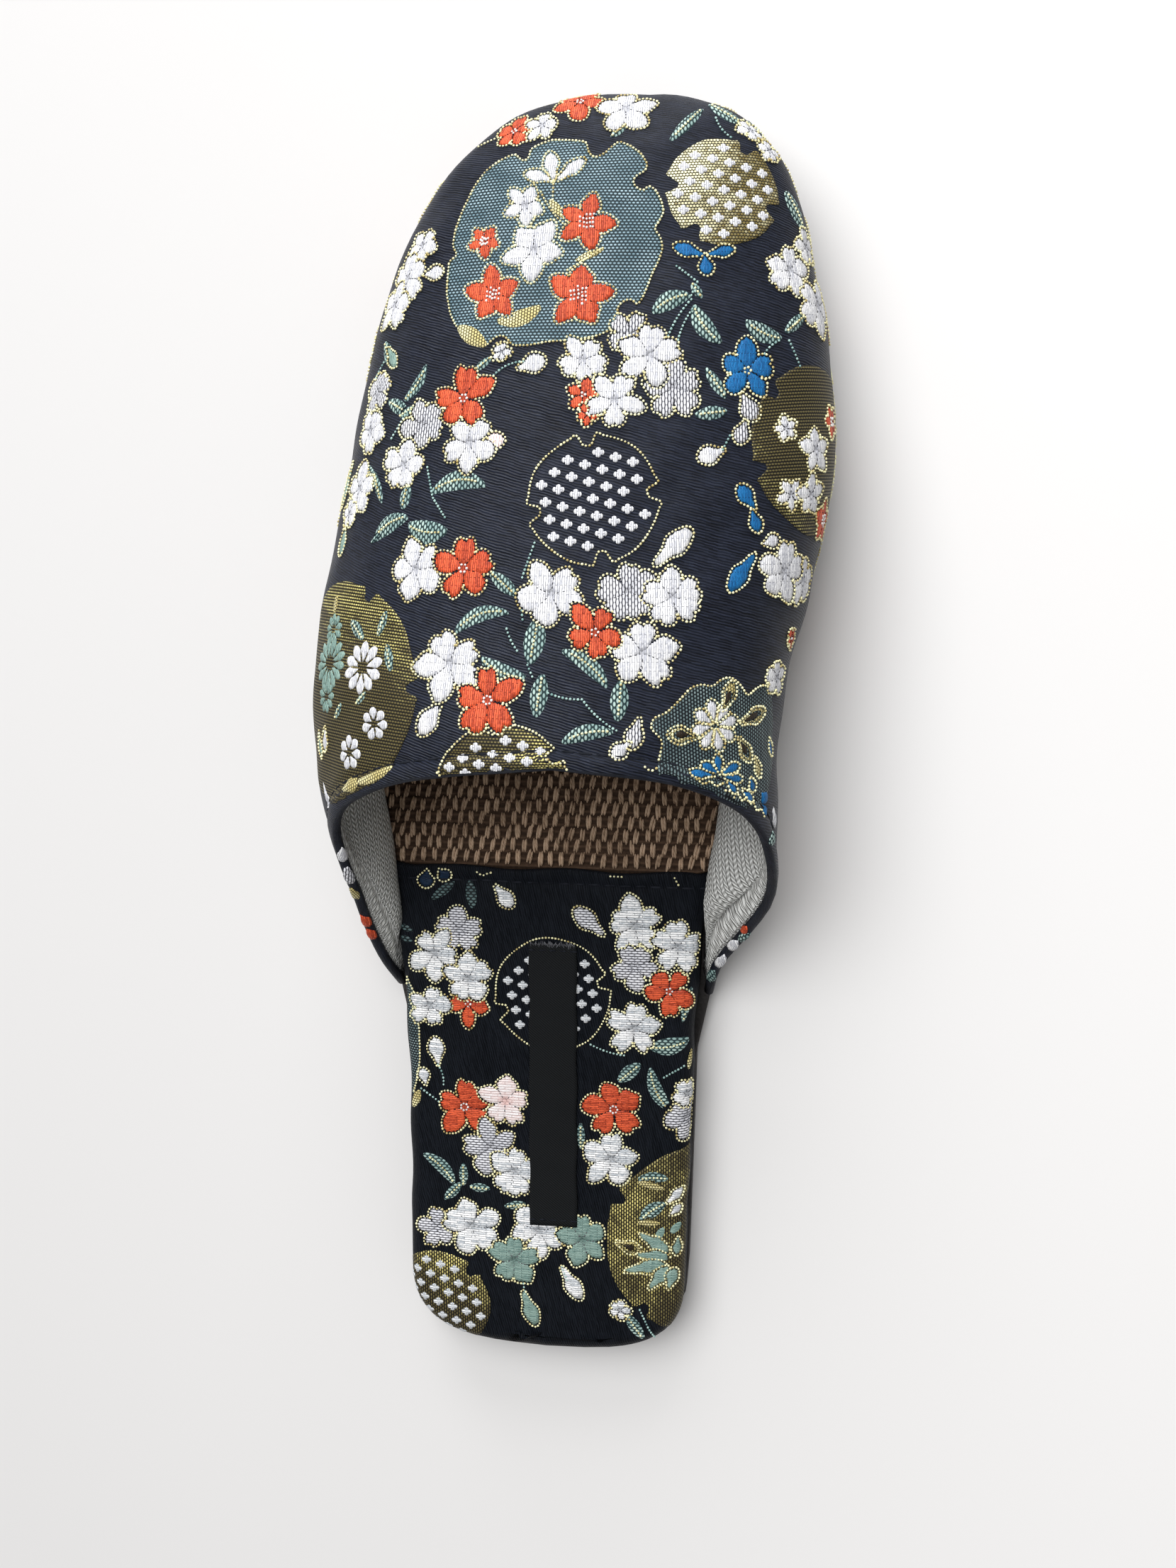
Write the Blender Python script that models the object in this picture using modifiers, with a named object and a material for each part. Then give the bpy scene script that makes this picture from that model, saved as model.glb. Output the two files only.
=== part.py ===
"""Left brocade house slipper: a backless mule on a flat sole, toe along +Y, resting on z = 0.

Along-foot places are counted from the heel end of the footbed and across-foot places from the heel's
centre line, positive towards the big toe. The tables are in millimetres; the meshes are in metres.
"""

from bisect import bisect_right
from collections import namedtuple
from math import acos, cos, hypot, pi, radians, sin

import bmesh
import bpy
from mathutils import Vector

MM = 0.001
LATERAL, MEDIAL = -1, 1
FIT_GAP = 0.3

# Layers of the sole, from the floor up.
OUTSOLE_THICK = 5.0
OUTSOLE_HEEL_GROW = 0.3
FOOTBED_THICK = 6.0
COVER_THICK = 1.0
COVER_ROUND = 3.0
TOE_SPRING = 3.0
SPRING_START = 186.0

# Footbed seen from above.
FOOTBED_LENGTH = 256.0
HEEL_ROUND = 19.0
HEEL_SQUARENESS = 3.0
TOE_ROUND = 204.0
TOE_SQUARENESS = 2.7
END_ANGLE = radians(7)
PlanRow = namedtuple("PlanRow", "along centre half_width")
FOOTBED_PLAN = (
    PlanRow(19, -1.3, 29.8),
    PlanRow(61, -0.7, 30.4),
    PlanRow(84, -0.7, 31.6),
    PlanRow(106, -0.3, 33.9),
    PlanRow(123, 0.0, 36.4),
    PlanRow(146, 2.0, 40.0),
    PlanRow(166, 5.3, 42.4),
    PlanRow(186, 8.5, 42.6),
    PlanRow(204, 10.4, 41.0),
    PlanRow(231, 12.7, 37.7),
    PlanRow(257, 17.0, 36.2),
)

# Brocade cover over the rear of the footbed, and the woven tape sewn along it.
COVER_FRONT = 105.8
COVER_STEP = COVER_THICK + FIT_GAP
TAPE_WIDTH = 10.0
TAPE_THICK = 0.5
TAPE_REAR, TAPE_FRONT = 29.0, 90.5
TAPE_ACROSS = 0.8

# Upper: a lined brocade wall, its edge folded inwards and stitched along the throat.
WALL_THICK = 2.0
HEM_THICK = 2.8
HEM_WIDTH = 5.0
HEM_STEP = 0.8
WING_END, WING_FRONT = 95.0, 118.0
WALL_SHARE = 0.3
WALL_ROWS = 4
VAULT_ROWS = 9
STATIONS = 18
POLE_ALONG = 230.0
FAN_COLUMNS = 9
UpperRow = namedtuple(
    "UpperRow",
    "along ridge_across ridge_height lateral_bulge lateral_height lateral_fullness"
    " medial_bulge medial_height medial_fullness",
)
UPPER_SECTIONS = (
    UpperRow(80, 7.0, 66.0, 2.0, 28.0, 2.2, 2.0, 36.0, 2.2),
    UpperRow(106, 8.0, 65.0, 1.2, 28.0, 2.2, 11.5, 38.0, 2.2),
    UpperRow(123, 8.5, 63.0, 3.0, 27.0, 2.2, 8.8, 37.0, 2.3),
    UpperRow(141, 9.0, 60.5, 4.2, 25.0, 2.2, 5.0, 33.0, 2.3),
    UpperRow(161, 9.5, 56.0, 3.4, 24.0, 2.1, 3.2, 27.0, 2.3),
    UpperRow(191, 11.0, 48.5, 2.0, 22.0, 2.1, 3.4, 23.0, 2.3),
    UpperRow(216, 12.5, 41.5, 2.0, 21.0, 2.2, 2.0, 21.0, 2.3),
    UpperRow(230, 14.0, 37.5, 2.0, 20.0, 2.3, 1.4, 20.0, 2.3),
    UpperRow(260, 17.0, 31.0, 1.8, 19.0, 2.4, 1.5, 19.0, 2.4),
)
ThroatRow = namedtuple("ThroatRow", "share lateral medial")
THROAT_LINE = (
    ThroatRow(0.00, 78, 79),
    ThroatRow(0.10, 85, 91),
    ThroatRow(0.20, 94, 103),
    ThroatRow(0.30, 104, 114),
    ThroatRow(0.45, 118, 124),
    ThroatRow(0.60, 127, 130),
    ThroatRow(0.80, 134, 135),
    ThroatRow(1.00, 137, 137),
)

Rim = namedtuple("Rim", "grow height")


def smooth_column(rows, key, column):
    """A smooth function through one column of a table against its key column, with no overshoot."""
    keys = [getattr(row, key) for row in rows]
    values = [getattr(row, column) for row in rows]
    slopes = [(values[i + 1] - values[i]) / (keys[i + 1] - keys[i]) for i in range(len(keys) - 1)]
    inner = [2 * a * b / (a + b) if a * b > 0 else 0.0 for a, b in zip(slopes, slopes[1:])]
    tangents = [slopes[0], *inner, slopes[-1]]

    def value(at):
        i = max(0, min(len(slopes) - 1, bisect_right(keys, at) - 1))
        span = keys[i + 1] - keys[i]
        t = max(0.0, min(1.0, (at - keys[i]) / span))
        ease = t * t * (3 - 2 * t)
        bend = span * t * (1 - t) * ((1 - t) * tangents[i] - t * tangents[i + 1])
        return values[i] + (values[i + 1] - values[i]) * ease + bend

    return value


plan_centre = smooth_column(FOOTBED_PLAN, "along", "centre")
plan_half_width = smooth_column(FOOTBED_PLAN, "along", "half_width")
section = {name: smooth_column(UPPER_SECTIONS, "along", name) for name in UpperRow._fields[1:]}
throat = {
    LATERAL: smooth_column(THROAT_LINE, "share", "lateral"),
    MEDIAL: smooth_column(THROAT_LINE, "share", "medial"),
}
side_name = {LATERAL: "lateral", MEDIAL: "medial"}


def evenly(first, last, count):
    """Count places from first to last, both included."""
    return [first + (last - first) * i / (count - 1) for i in range(count)]


def ramp(value, low, high):
    """A smooth step from 0 at low to 1 at high."""
    t = max(0.0, min(1.0, (value - low) / (high - low)))
    return t * t * (3 - 2 * t)


def corner(reach, squareness):
    """Width left at this share of the way into a rounded end: a quarter of a superellipse."""
    return max(0.0, 1 - min(1.0, reach) ** squareness) ** (1 / squareness)


def plan_across(along, side, grow=0.0):
    """Across-foot place of the footbed's edge, moved outwards by grow."""
    half = plan_half_width(along) + grow
    if along < HEEL_ROUND:
        half *= corner((HEEL_ROUND - along) / (HEEL_ROUND + grow), HEEL_SQUARENESS)
    if along > TOE_ROUND:
        half *= corner((along - TOE_ROUND) / (FOOTBED_LENGTH + grow - TOE_ROUND), TOE_SQUARENESS)
    return plan_centre(along) + side * half


def toe_lift(along):
    """How far the toe spring lifts the sole here."""
    reach = max(0.0, (along - SPRING_START) / (FOOTBED_LENGTH - SPRING_START))
    return TOE_SPRING * reach**2


def heel_stations(grow, count=7):
    """Along-foot places round the heel's corners, from the heel end to where the sides run on."""
    angles = evenly(END_ANGLE, pi / 2, count)
    return [HEEL_ROUND - (HEEL_ROUND + grow) * cos(a) ** (2 / HEEL_SQUARENESS) for a in angles]


def toe_stations(grow, start, last_angle, count):
    """Along-foot places round the toe, from start to the toe end."""
    length = FOOTBED_LENGTH + grow - TOE_ROUND
    first_angle = acos(max(0.0, (start - TOE_ROUND) / length) ** (TOE_SQUARENESS / 2))
    angles = evenly(first_angle, last_angle, count)
    return [TOE_ROUND + length * cos(a) ** (2 / TOE_SQUARENESS) for a in angles]


def vertex(bm, across, along, height):
    """A new vertex from millimetre places."""
    return bm.verts.new((across * MM, along * MM, height * MM))


def bridge(bm, first, second, closed=False):
    """Quads between two rows of vertices of the same length."""
    count = len(first) if closed else len(first) - 1
    for i in range(count):
        k = (i + 1) % len(first)
        bm.faces.new((first[i], first[k], second[k], second[i]))


def rim_rows(bm, rims, stations, across):
    """For each rim, its lateral and medial vertices from heel to toe."""
    rows = []
    for rim in rims:
        places = stations(rim.grow)
        sides = []
        for side in (LATERAL, MEDIAL):
            sides.append([vertex(bm, across(a, side, rim.grow), a, rim.height + toe_lift(a)) for a in places])
        rows.append(sides)
    return rows


def add_plate(bm, rims, stations, across):
    """A closed plate with the plan's outline, its rims listed from the bottom to the top."""
    rows = rim_rows(bm, rims, stations, across)
    loops = [lateral + medial[::-1] for lateral, medial in rows]
    for lower, higher in zip(loops, loops[1:]):
        bridge(bm, lower, higher, closed=True)
    for lateral, medial in (rows[0], rows[-1]):
        bridge(bm, lateral, medial)


def rounded_top(grow, top, radius, steps=3):
    """Rims round a top edge, from the side wall to the flat."""
    angles = evenly(0.0, pi / 2, steps + 1)
    return [Rim(grow - radius * (1 - cos(a)), top - radius * (1 - sin(a))) for a in angles]


def whole_stations(grow):
    """Along-foot places for a plate that runs from heel to toe."""
    middle = evenly(HEEL_ROUND, TOE_ROUND, 13)[1:]
    return heel_stations(grow) + middle + toe_stations(grow, TOE_ROUND, END_ANGLE, 12)[1:]


def feather_grow(along):
    """How far the wall's outer face stands out from the footbed, more where the wings' folded edges end."""
    wing = 1 - ramp(along, WING_END, WING_FRONT)
    return FIT_GAP + WALL_THICK + (HEM_THICK - WALL_THICK) * wing


def outsole_across(along, side, grow):
    """Outsole edge: close to the heel's cover, then out under the wall of the upper."""
    wing = ramp(along, THROAT_LINE[0].lateral - 10, THROAT_LINE[0].lateral)
    flare = OUTSOLE_HEEL_GROW + (feather_grow(along) - FIT_GAP - OUTSOLE_HEEL_GROW) * wing
    return plan_across(along, side, grow + flare)


def outsole_stations(grow):
    """Stations of the outsole, spread to its own heel and toe ends."""
    heel = heel_stations(grow + OUTSOLE_HEEL_GROW)
    middle = evenly(HEEL_ROUND, TOE_ROUND, 13)[1:]
    return heel + middle + toe_stations(grow + WALL_THICK, TOE_ROUND, END_ANGLE, 12)[1:]


def build_outsole(bm):
    """Flat outsole with softened edges."""
    rims = (
        Rim(-0.8, 0.0),
        Rim(-0.25, 0.25),
        Rim(0.0, 0.8),
        Rim(0.0, OUTSOLE_THICK - 0.4),
        Rim(-0.4, OUTSOLE_THICK),
    )
    add_plate(bm, rims, outsole_stations, outsole_across)


FOOTBED_BOTTOM = OUTSOLE_THICK + FIT_GAP
FOOTBED_TOP = FOOTBED_BOTTOM + FOOTBED_THICK
COVER_TOP = FOOTBED_TOP + COVER_STEP


def footbed_across(along, side, grow):
    """Footbed edge, set in under the heel's cover."""
    inset = 0.0 if along > COVER_FRONT + FIT_GAP + 0.1 else COVER_STEP
    return plan_across(along, side, grow - inset)


def footbed_stations(grow):
    """Stations of the footbed, with a pair at the step in front of the cover."""
    step = COVER_FRONT + FIT_GAP
    middle = [*evenly(HEEL_ROUND, step, 7)[1:], *evenly(step + 0.6, TOE_ROUND, 8)]
    return heel_stations(grow - COVER_STEP) + middle + toe_stations(grow, TOE_ROUND, END_ANGLE, 12)[1:]


def build_footbed(bm):
    """Woven footbed, rounded along its top edge."""
    radius = COVER_ROUND - COVER_STEP
    rims = [Rim(-0.5, FOOTBED_BOTTOM), Rim(0.0, FOOTBED_BOTTOM + 0.5), *rounded_top(0.0, FOOTBED_TOP, radius)]
    add_plate(bm, rims, footbed_stations, footbed_across)


def cover_stations(grow):
    """Stations of the heel's cover, from the heel end to its front hem."""
    return heel_stations(grow) + evenly(HEEL_ROUND, COVER_FRONT, 8)[1:]


def build_cover(bm):
    """Outer face of the heel's cover: a skirt round the heel and a flat top, open in front and below."""
    rims = [Rim(0.0, FOOTBED_BOTTOM), *rounded_top(0.0, COVER_TOP, COVER_ROUND)]
    rows = rim_rows(bm, rims, cover_stations, plan_across)
    loops = [lateral[::-1] + medial for lateral, medial in rows]
    for lower, higher in zip(loops, loops[1:]):
        bridge(bm, lower, higher)
    lateral, medial = rows[-1]
    bridge(bm, medial, lateral)


def feather(along, side):
    """Where the outer face of the upper meets the outsole."""
    return Vector((plan_across(along, side, feather_grow(along)), along, FOOTBED_BOTTOM + toe_lift(along)))


def upper_point(foot, top_across, top_along, side, share):
    """Outer face of the upper: from the feather line up the wall (share 0 to WALL_SHARE), then over to the ridge."""
    bulge = section[side_name[side] + "_bulge"](foot.y)
    widest = section[side_name[side] + "_height"](foot.y)
    power = 2 / section[side_name[side] + "_fullness"](foot.y)
    out_x, out_y = foot.x - top_across, foot.y - top_along
    length = hypot(out_x, out_y)
    out_x, out_y = out_x / length, out_y / length
    if share <= WALL_SHARE:
        angle = pi / 2 * share / WALL_SHARE
        swell = bulge * sin(angle)
        height = foot.z + (widest - foot.z) * share / WALL_SHARE
        return Vector((foot.x + out_x * swell, foot.y + out_y * swell, height))
    angle = pi / 2 * (share - WALL_SHARE) / (1 - WALL_SHARE)
    reach = (length + bulge) * max(0.0, cos(angle)) ** power
    along = top_along + out_y * reach
    height = widest + (section["ridge_height"](along) - widest) * sin(angle) ** power
    return Vector((top_across + out_x * reach, along, height))


def flank_point(along, side, share):
    """Outer face of the upper at a plain cross-section behind the toe."""
    return upper_point(feather(along, side), section["ridge_across"](along), along, side, share)


def hem_reach(side, share):
    """How far along the foot the hem runs in from the throat, for an even width square to the edge."""
    low, high = max(0.0, share - 0.01), min(1.0, share + 0.01)
    edge = flank_point(throat[side](high), side, high) - flank_point(throat[side](low), side, low)
    return HEM_WIDTH / max(0.4, hypot(edge.x, edge.z) / edge.length)


def flank_stations(side, share):
    """Along-foot places of one strip of the upper, from the throat over the hem's step to the toe's pole."""
    edge = throat[side](share)
    hem = edge + hem_reach(side, share)
    return [edge, hem, *evenly(hem + HEM_STEP, POLE_ALONG, STATIONS)]


def build_upper(bm):
    """Outer face of the upper: strips along both flanks, and a fan of sections round the toe."""
    hem = bm.verts.layers.deform.verify()
    shares = [WALL_SHARE * i / WALL_ROWS for i in range(WALL_ROWS)]
    shares += evenly(WALL_SHARE, 1.0, VAULT_ROWS + 1)
    ridge = []
    last_columns = []
    for side in (LATERAL, MEDIAL):
        strips = []
        for share in shares[:-1] if side == MEDIAL else shares:
            places = flank_stations(side, share)
            points = [flank_point(along, side, share) for along in places]
            strip = [vertex(bm, *point) for point in points]
            for vert in strip[:2]:
                vert[hem][0] = 1.0
            strips.append(strip)
        if side == LATERAL:
            ridge = strips[-1]
        else:
            strips.append(ridge)
        for lower, higher in zip(strips, strips[1:]):
            pair = (lower, higher) if side == LATERAL else (higher, lower)
            bridge(bm, pair[1], pair[0])
        last_columns.append([strip[-1] for strip in strips])
    pole = ridge[-1]
    columns = [last_columns[0][:-1]]
    toe_places = toe_stations(FIT_GAP + WALL_THICK, POLE_ALONG, 0.0, FAN_COLUMNS + 1)
    feet = [(along, LATERAL) for along in toe_places[1:]] + [(along, MEDIAL) for along in toe_places[-2:0:-1]]
    for along, side in feet:
        foot = feather(along, side)
        points = [
            upper_point(foot, section["ridge_across"](POLE_ALONG), POLE_ALONG, side, share) for share in shares[:-1]
        ]
        columns.append([vertex(bm, *point) for point in points])
    columns.append(last_columns[1][:-1])
    for first, second in zip(columns, columns[1:]):
        bridge(bm, first, second)
        bm.faces.new((second[-1], first[-1], pole))


def add_object(name, build, colour, roughness):
    """A named object in the parts collection, with its own plain material."""
    mesh = bpy.data.meshes.new(name)
    bm = bmesh.new()
    build(bm)
    bm.to_mesh(mesh)
    bm.free()
    mesh.shade_smooth()
    obj = bpy.data.objects.new(name, mesh)
    parts.objects.link(obj)
    obj.parent = origin
    material = bpy.data.materials.new(name)
    material.use_nodes = True
    shader = material.node_tree.nodes["Principled BSDF"]
    shader.inputs["Base Color"].default_value = (*colour, 1.0)
    shader.inputs["Roughness"].default_value = roughness
    mesh.materials.append(material)
    return obj


def close_plate(bm, build):
    """Build a closed piece and point its faces outwards."""
    build(bm)
    bmesh.ops.recalc_face_normals(bm, faces=bm.faces)


def build_tape(bm):
    """Woven tape lying along the heel's cover."""
    centre = Vector((TAPE_ACROSS, (TAPE_REAR + TAPE_FRONT) / 2, COVER_TOP + FIT_GAP + TAPE_THICK / 2))
    size = (TAPE_WIDTH, TAPE_FRONT - TAPE_REAR, TAPE_THICK)
    bmesh.ops.create_cube(bm, size=1.0)
    for vert in bm.verts:
        vert.co = Vector([(centre[i] + vert.co[i] * size[i]) * MM for i in range(3)])


for old in list(bpy.data.objects):
    bpy.data.objects.remove(old, do_unlink=True)
parts = bpy.data.collections.new("brocade_slipper")
bpy.context.scene.collection.children.link(parts)
origin = bpy.data.objects.new("slipper_origin", None)
parts.objects.link(origin)

add_object("outsole", lambda bm: close_plate(bm, build_outsole), (0.020, 0.018, 0.018), 0.7)
add_object("footbed", lambda bm: close_plate(bm, build_footbed), (0.200, 0.120, 0.070), 0.9)

cover = add_object("heel_cover", build_cover, (0.012, 0.014, 0.022), 0.6)
skin = cover.modifiers.new("cloth", "SOLIDIFY")
skin.thickness = COVER_THICK * MM
skin.offset = -1.0

upper = add_object("upper", build_upper, (0.010, 0.012, 0.020), 0.5)
upper.vertex_groups.new(name="hem")
wall = upper.modifiers.new("wall", "SOLIDIFY")
wall.thickness = HEM_THICK * MM
wall.offset = -1.0
wall.vertex_group = "hem"
wall.thickness_vertex_group = WALL_THICK / HEM_THICK

tape = add_object("woven_tape", build_tape, (0.008, 0.008, 0.009), 0.8)
edge = tape.modifiers.new("edge", "BEVEL")
edge.width = 0.15 * MM
edge.segments = 2

bpy.context.view_layer.update()
graph = bpy.context.evaluated_depsgraph_get()
corners = [Vector(c) for obj in parts.objects if obj.type == "MESH" for c in obj.evaluated_get(graph).bound_box]
low = [min(c[i] for c in corners) for i in range(3)]
high = [max(c[i] for c in corners) for i in range(3)]
origin.location = (-(low[0] + high[0]) / 2, -(low[1] + high[1]) / 2, -low[2])
bpy.context.view_layer.update()
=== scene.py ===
from bisect import bisect_right
from collections import namedtuple
from math import acos, atan2, ceil, cos, exp, hypot, pi, radians, sin
from random import Random

import bmesh
import bpy
import numpy as np
from mathutils import Matrix, Vector
from mathutils.bvhtree import BVHTree


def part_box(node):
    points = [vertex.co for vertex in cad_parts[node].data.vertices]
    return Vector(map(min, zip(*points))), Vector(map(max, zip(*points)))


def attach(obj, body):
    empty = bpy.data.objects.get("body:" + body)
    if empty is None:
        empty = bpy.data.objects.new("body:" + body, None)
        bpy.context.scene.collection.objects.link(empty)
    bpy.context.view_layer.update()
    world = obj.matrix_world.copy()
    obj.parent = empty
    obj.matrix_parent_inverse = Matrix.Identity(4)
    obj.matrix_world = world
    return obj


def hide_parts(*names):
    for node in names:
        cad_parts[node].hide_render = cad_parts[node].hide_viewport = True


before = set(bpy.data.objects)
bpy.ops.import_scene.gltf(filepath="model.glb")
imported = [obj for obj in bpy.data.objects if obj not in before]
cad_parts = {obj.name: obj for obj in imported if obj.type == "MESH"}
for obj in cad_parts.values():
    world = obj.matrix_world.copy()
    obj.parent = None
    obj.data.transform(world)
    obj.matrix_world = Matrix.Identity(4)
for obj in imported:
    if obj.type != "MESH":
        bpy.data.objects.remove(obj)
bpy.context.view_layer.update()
mm = 0.001
lateral, medial = -1, 1
sideName = {lateral: "lateral", medial: "medial"}

# Sizes shared with the solids, in millimetres from the heel's end and the heel's centre line.
sole = {
    "footbedTop": 11.3,
    "footbedBottom": 5.3,
    "coverTop": 12.6,
    "coverRound": 3.0,
    "coverFront": 105.8,
    "length": 256.0,
    "heelRound": 19.0,
    "heelSquareness": 3.0,
    "toeRound": 204.0,
    "toeSquareness": 2.7,
    "toeSpring": 3.0,
    "springStart": 186.0,
}
planRow = namedtuple("planRow", "along centre halfWidth")
footbedPlan = (
    planRow(19, -1.3, 29.8),
    planRow(61, -0.7, 30.4),
    planRow(84, -0.7, 31.6),
    planRow(106, -0.3, 33.9),
    planRow(123, 0.0, 36.4),
    planRow(146, 2.0, 40.0),
    planRow(166, 5.3, 42.4),
    planRow(186, 8.5, 42.6),
    planRow(204, 10.4, 41.0),
    planRow(231, 12.7, 37.7),
    planRow(257, 17.0, 36.2),
)
upperRow = namedtuple(
    "upperRow",
    "along ridgeAcross ridgeHeight lateralBulge lateralHeight lateralFullness "
    "medialBulge medialHeight medialFullness",
)
upperSections = (
    upperRow(80, 7.0, 66.0, 2.0, 28.0, 2.2, 2.0, 36.0, 2.2),
    upperRow(106, 8.0, 65.0, 1.2, 28.0, 2.2, 11.5, 38.0, 2.2),
    upperRow(123, 8.5, 63.0, 3.0, 27.0, 2.2, 8.8, 37.0, 2.3),
    upperRow(141, 9.0, 60.5, 4.2, 25.0, 2.2, 5.0, 33.0, 2.3),
    upperRow(161, 9.5, 56.0, 3.4, 24.0, 2.1, 3.2, 27.0, 2.3),
    upperRow(191, 11.0, 48.5, 2.0, 22.0, 2.1, 3.4, 23.0, 2.3),
    upperRow(216, 12.5, 41.5, 2.0, 21.0, 2.2, 2.0, 21.0, 2.3),
    upperRow(230, 14.0, 37.5, 2.0, 20.0, 2.3, 1.4, 20.0, 2.3),
    upperRow(260, 17.0, 31.0, 1.8, 19.0, 2.4, 1.5, 19.0, 2.4),
)
throatRow = namedtuple("throatRow", "share lateral medial")
throatLine = (
    throatRow(0.00, 78, 79),
    throatRow(0.10, 85, 91),
    throatRow(0.20, 94, 103),
    throatRow(0.30, 104, 114),
    throatRow(0.45, 118, 124),
    throatRow(0.60, 127, 130),
    throatRow(0.80, 134, 135),
    throatRow(1.00, 137, 137),
)

# The woven tape's solid fixes where the heel's centre line and end lie in the frame.
tape = {
    "wide": 10.0,
    "rear": 29.0,
    "front": 90.5,
    "across": 0.8,
    "thick": 0.55,
    "edgeCurl": 0.12,
    "lift": 0.10,
    "puff": 0.16,
    "wave": 0.07,
    "sway": 0.12,
    "stitchIn": 1.3,
    "columns": 14,
    "rows": 70,
}
tapeLow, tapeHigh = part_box("woven_tape")
heelX = (tapeLow.x + tapeHigh.x) / 2 - tape["across"] * mm
heelY = tapeLow.y - tape["rear"] * mm


def place(across, along, height):
    return Vector((across * mm + heelX, along * mm + heelY, height * mm))


def smoothColumn(rows, key, column):  # a curve through one column of a table, without overshoot
    keys = [getattr(row, key) for row in rows]
    values = [getattr(row, column) for row in rows]
    slopes = [(values[i + 1] - values[i]) / (keys[i + 1] - keys[i]) for i in range(len(keys) - 1)]
    inner = [2 * a * b / (a + b) if a * b > 0 else 0.0 for a, b in zip(slopes, slopes[1:])]
    tangents = [slopes[0], *inner, slopes[-1]]

    def value(at):
        i = max(0, min(len(slopes) - 1, bisect_right(keys, at) - 1))
        span = keys[i + 1] - keys[i]
        t = max(0.0, min(1.0, (at - keys[i]) / span))
        bend = span * t * (1 - t) * ((1 - t) * tangents[i] - t * tangents[i + 1])
        return values[i] + (values[i + 1] - values[i]) * t * t * (3 - 2 * t) + bend

    return value


planCentre = smoothColumn(footbedPlan, "along", "centre")
planHalfWidth = smoothColumn(footbedPlan, "along", "halfWidth")
section = {name: smoothColumn(upperSections, "along", name) for name in upperRow._fields[1:]}
throat = {side: smoothColumn(throatLine, "share", sideName[side]) for side in (lateral, medial)}


def evenly(first, last, count):
    return [first + (last - first) * i / (count - 1) for i in range(count)]


def ramp(value, low, high):
    t = max(0.0, min(1.0, (value - low) / (high - low)))
    return t * t * (3 - 2 * t)


def corner(reach, squareness):
    return max(0.0, 1 - min(1.0, reach) ** squareness) ** (1 / squareness)


def planAcross(along, side, grow=0.0):  # edge of the footbed, moved outwards by grow
    half = planHalfWidth(along) + grow
    if along < sole["heelRound"]:
        half *= corner((sole["heelRound"] - along) / (sole["heelRound"] + grow), sole["heelSquareness"])
    if along > sole["toeRound"]:
        toeLength = sole["length"] + grow - sole["toeRound"]
        half *= corner((along - sole["toeRound"]) / toeLength, sole["toeSquareness"])
    return planCentre(along) + side * half


def toeLift(along):
    reach = max(0.0, (along - sole["springStart"]) / (sole["length"] - sole["springStart"]))
    return sole["toeSpring"] * reach**2


# Photo camera: looks straight down from beside the forefoot, in the 1659 by 2212 frame.
photo = {
    "width": 1659,
    "height": 2212,
    "mmPerPixel": 0.196,
    "above": 326.0,
    "insoleTop": 12.3,
    "across": 57.7,
    "along": 190.7,
    "focalPixels": 1663,
    "sensor": 36.0,
}
photoEye = place(photo["across"], photo["along"], photo["insoleTop"] + photo["above"])


def photoRay(photoX, photoY):
    across = photo["across"] + (photoX - photo["width"] / 2) * photo["mmPerPixel"]
    along = photo["along"] + (photo["height"] / 2 - photoY) * photo["mmPerPixel"]
    return (place(across, along, photo["insoleTop"]) - photoEye).normalized()


# Shader maths written as plain expressions.
class Wire:
    def __init__(self, finish, socket):
        self.finish = finish
        self.socket = socket

    def math(self, operation, *others):
        values = {i: value for i, value in enumerate((self, *others))}
        return self.finish.wire("ShaderNodeMath", {"operation": operation}, values, 0)

    def __add__(self, other):
        return self.math("ADD", other)

    def __sub__(self, other):
        return self.math("SUBTRACT", other)

    def __rsub__(self, other):
        return (self * -1.0).math("ADD", other)

    def __mul__(self, other):
        return self.math("MULTIPLY", other)

    def __truediv__(self, other):
        return self.math("DIVIDE", other)

    __radd__ = __add__
    __rmul__ = __mul__

    def sine(self):
        return self.math("SINE")

    def fract(self):
        return self.math("FRACT")

    def floor(self):
        return self.math("FLOOR")

    def size(self):
        return self.math("ABSOLUTE")

    def most(self, other):
        return self.math("MAXIMUM", other)

    def step(self, low, high):
        values = {"Value": self, "From Min": low, "From Max": high}
        return self.finish.wire("ShaderNodeMapRange", {"interpolation_type": "SMOOTHSTEP"}, values, 0)


socketNames = {
    "baseColor": "Base Color",
    "roughness": "Roughness",
    "metallic": "Metallic",
    "specular": "Specular IOR Level",
}


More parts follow.
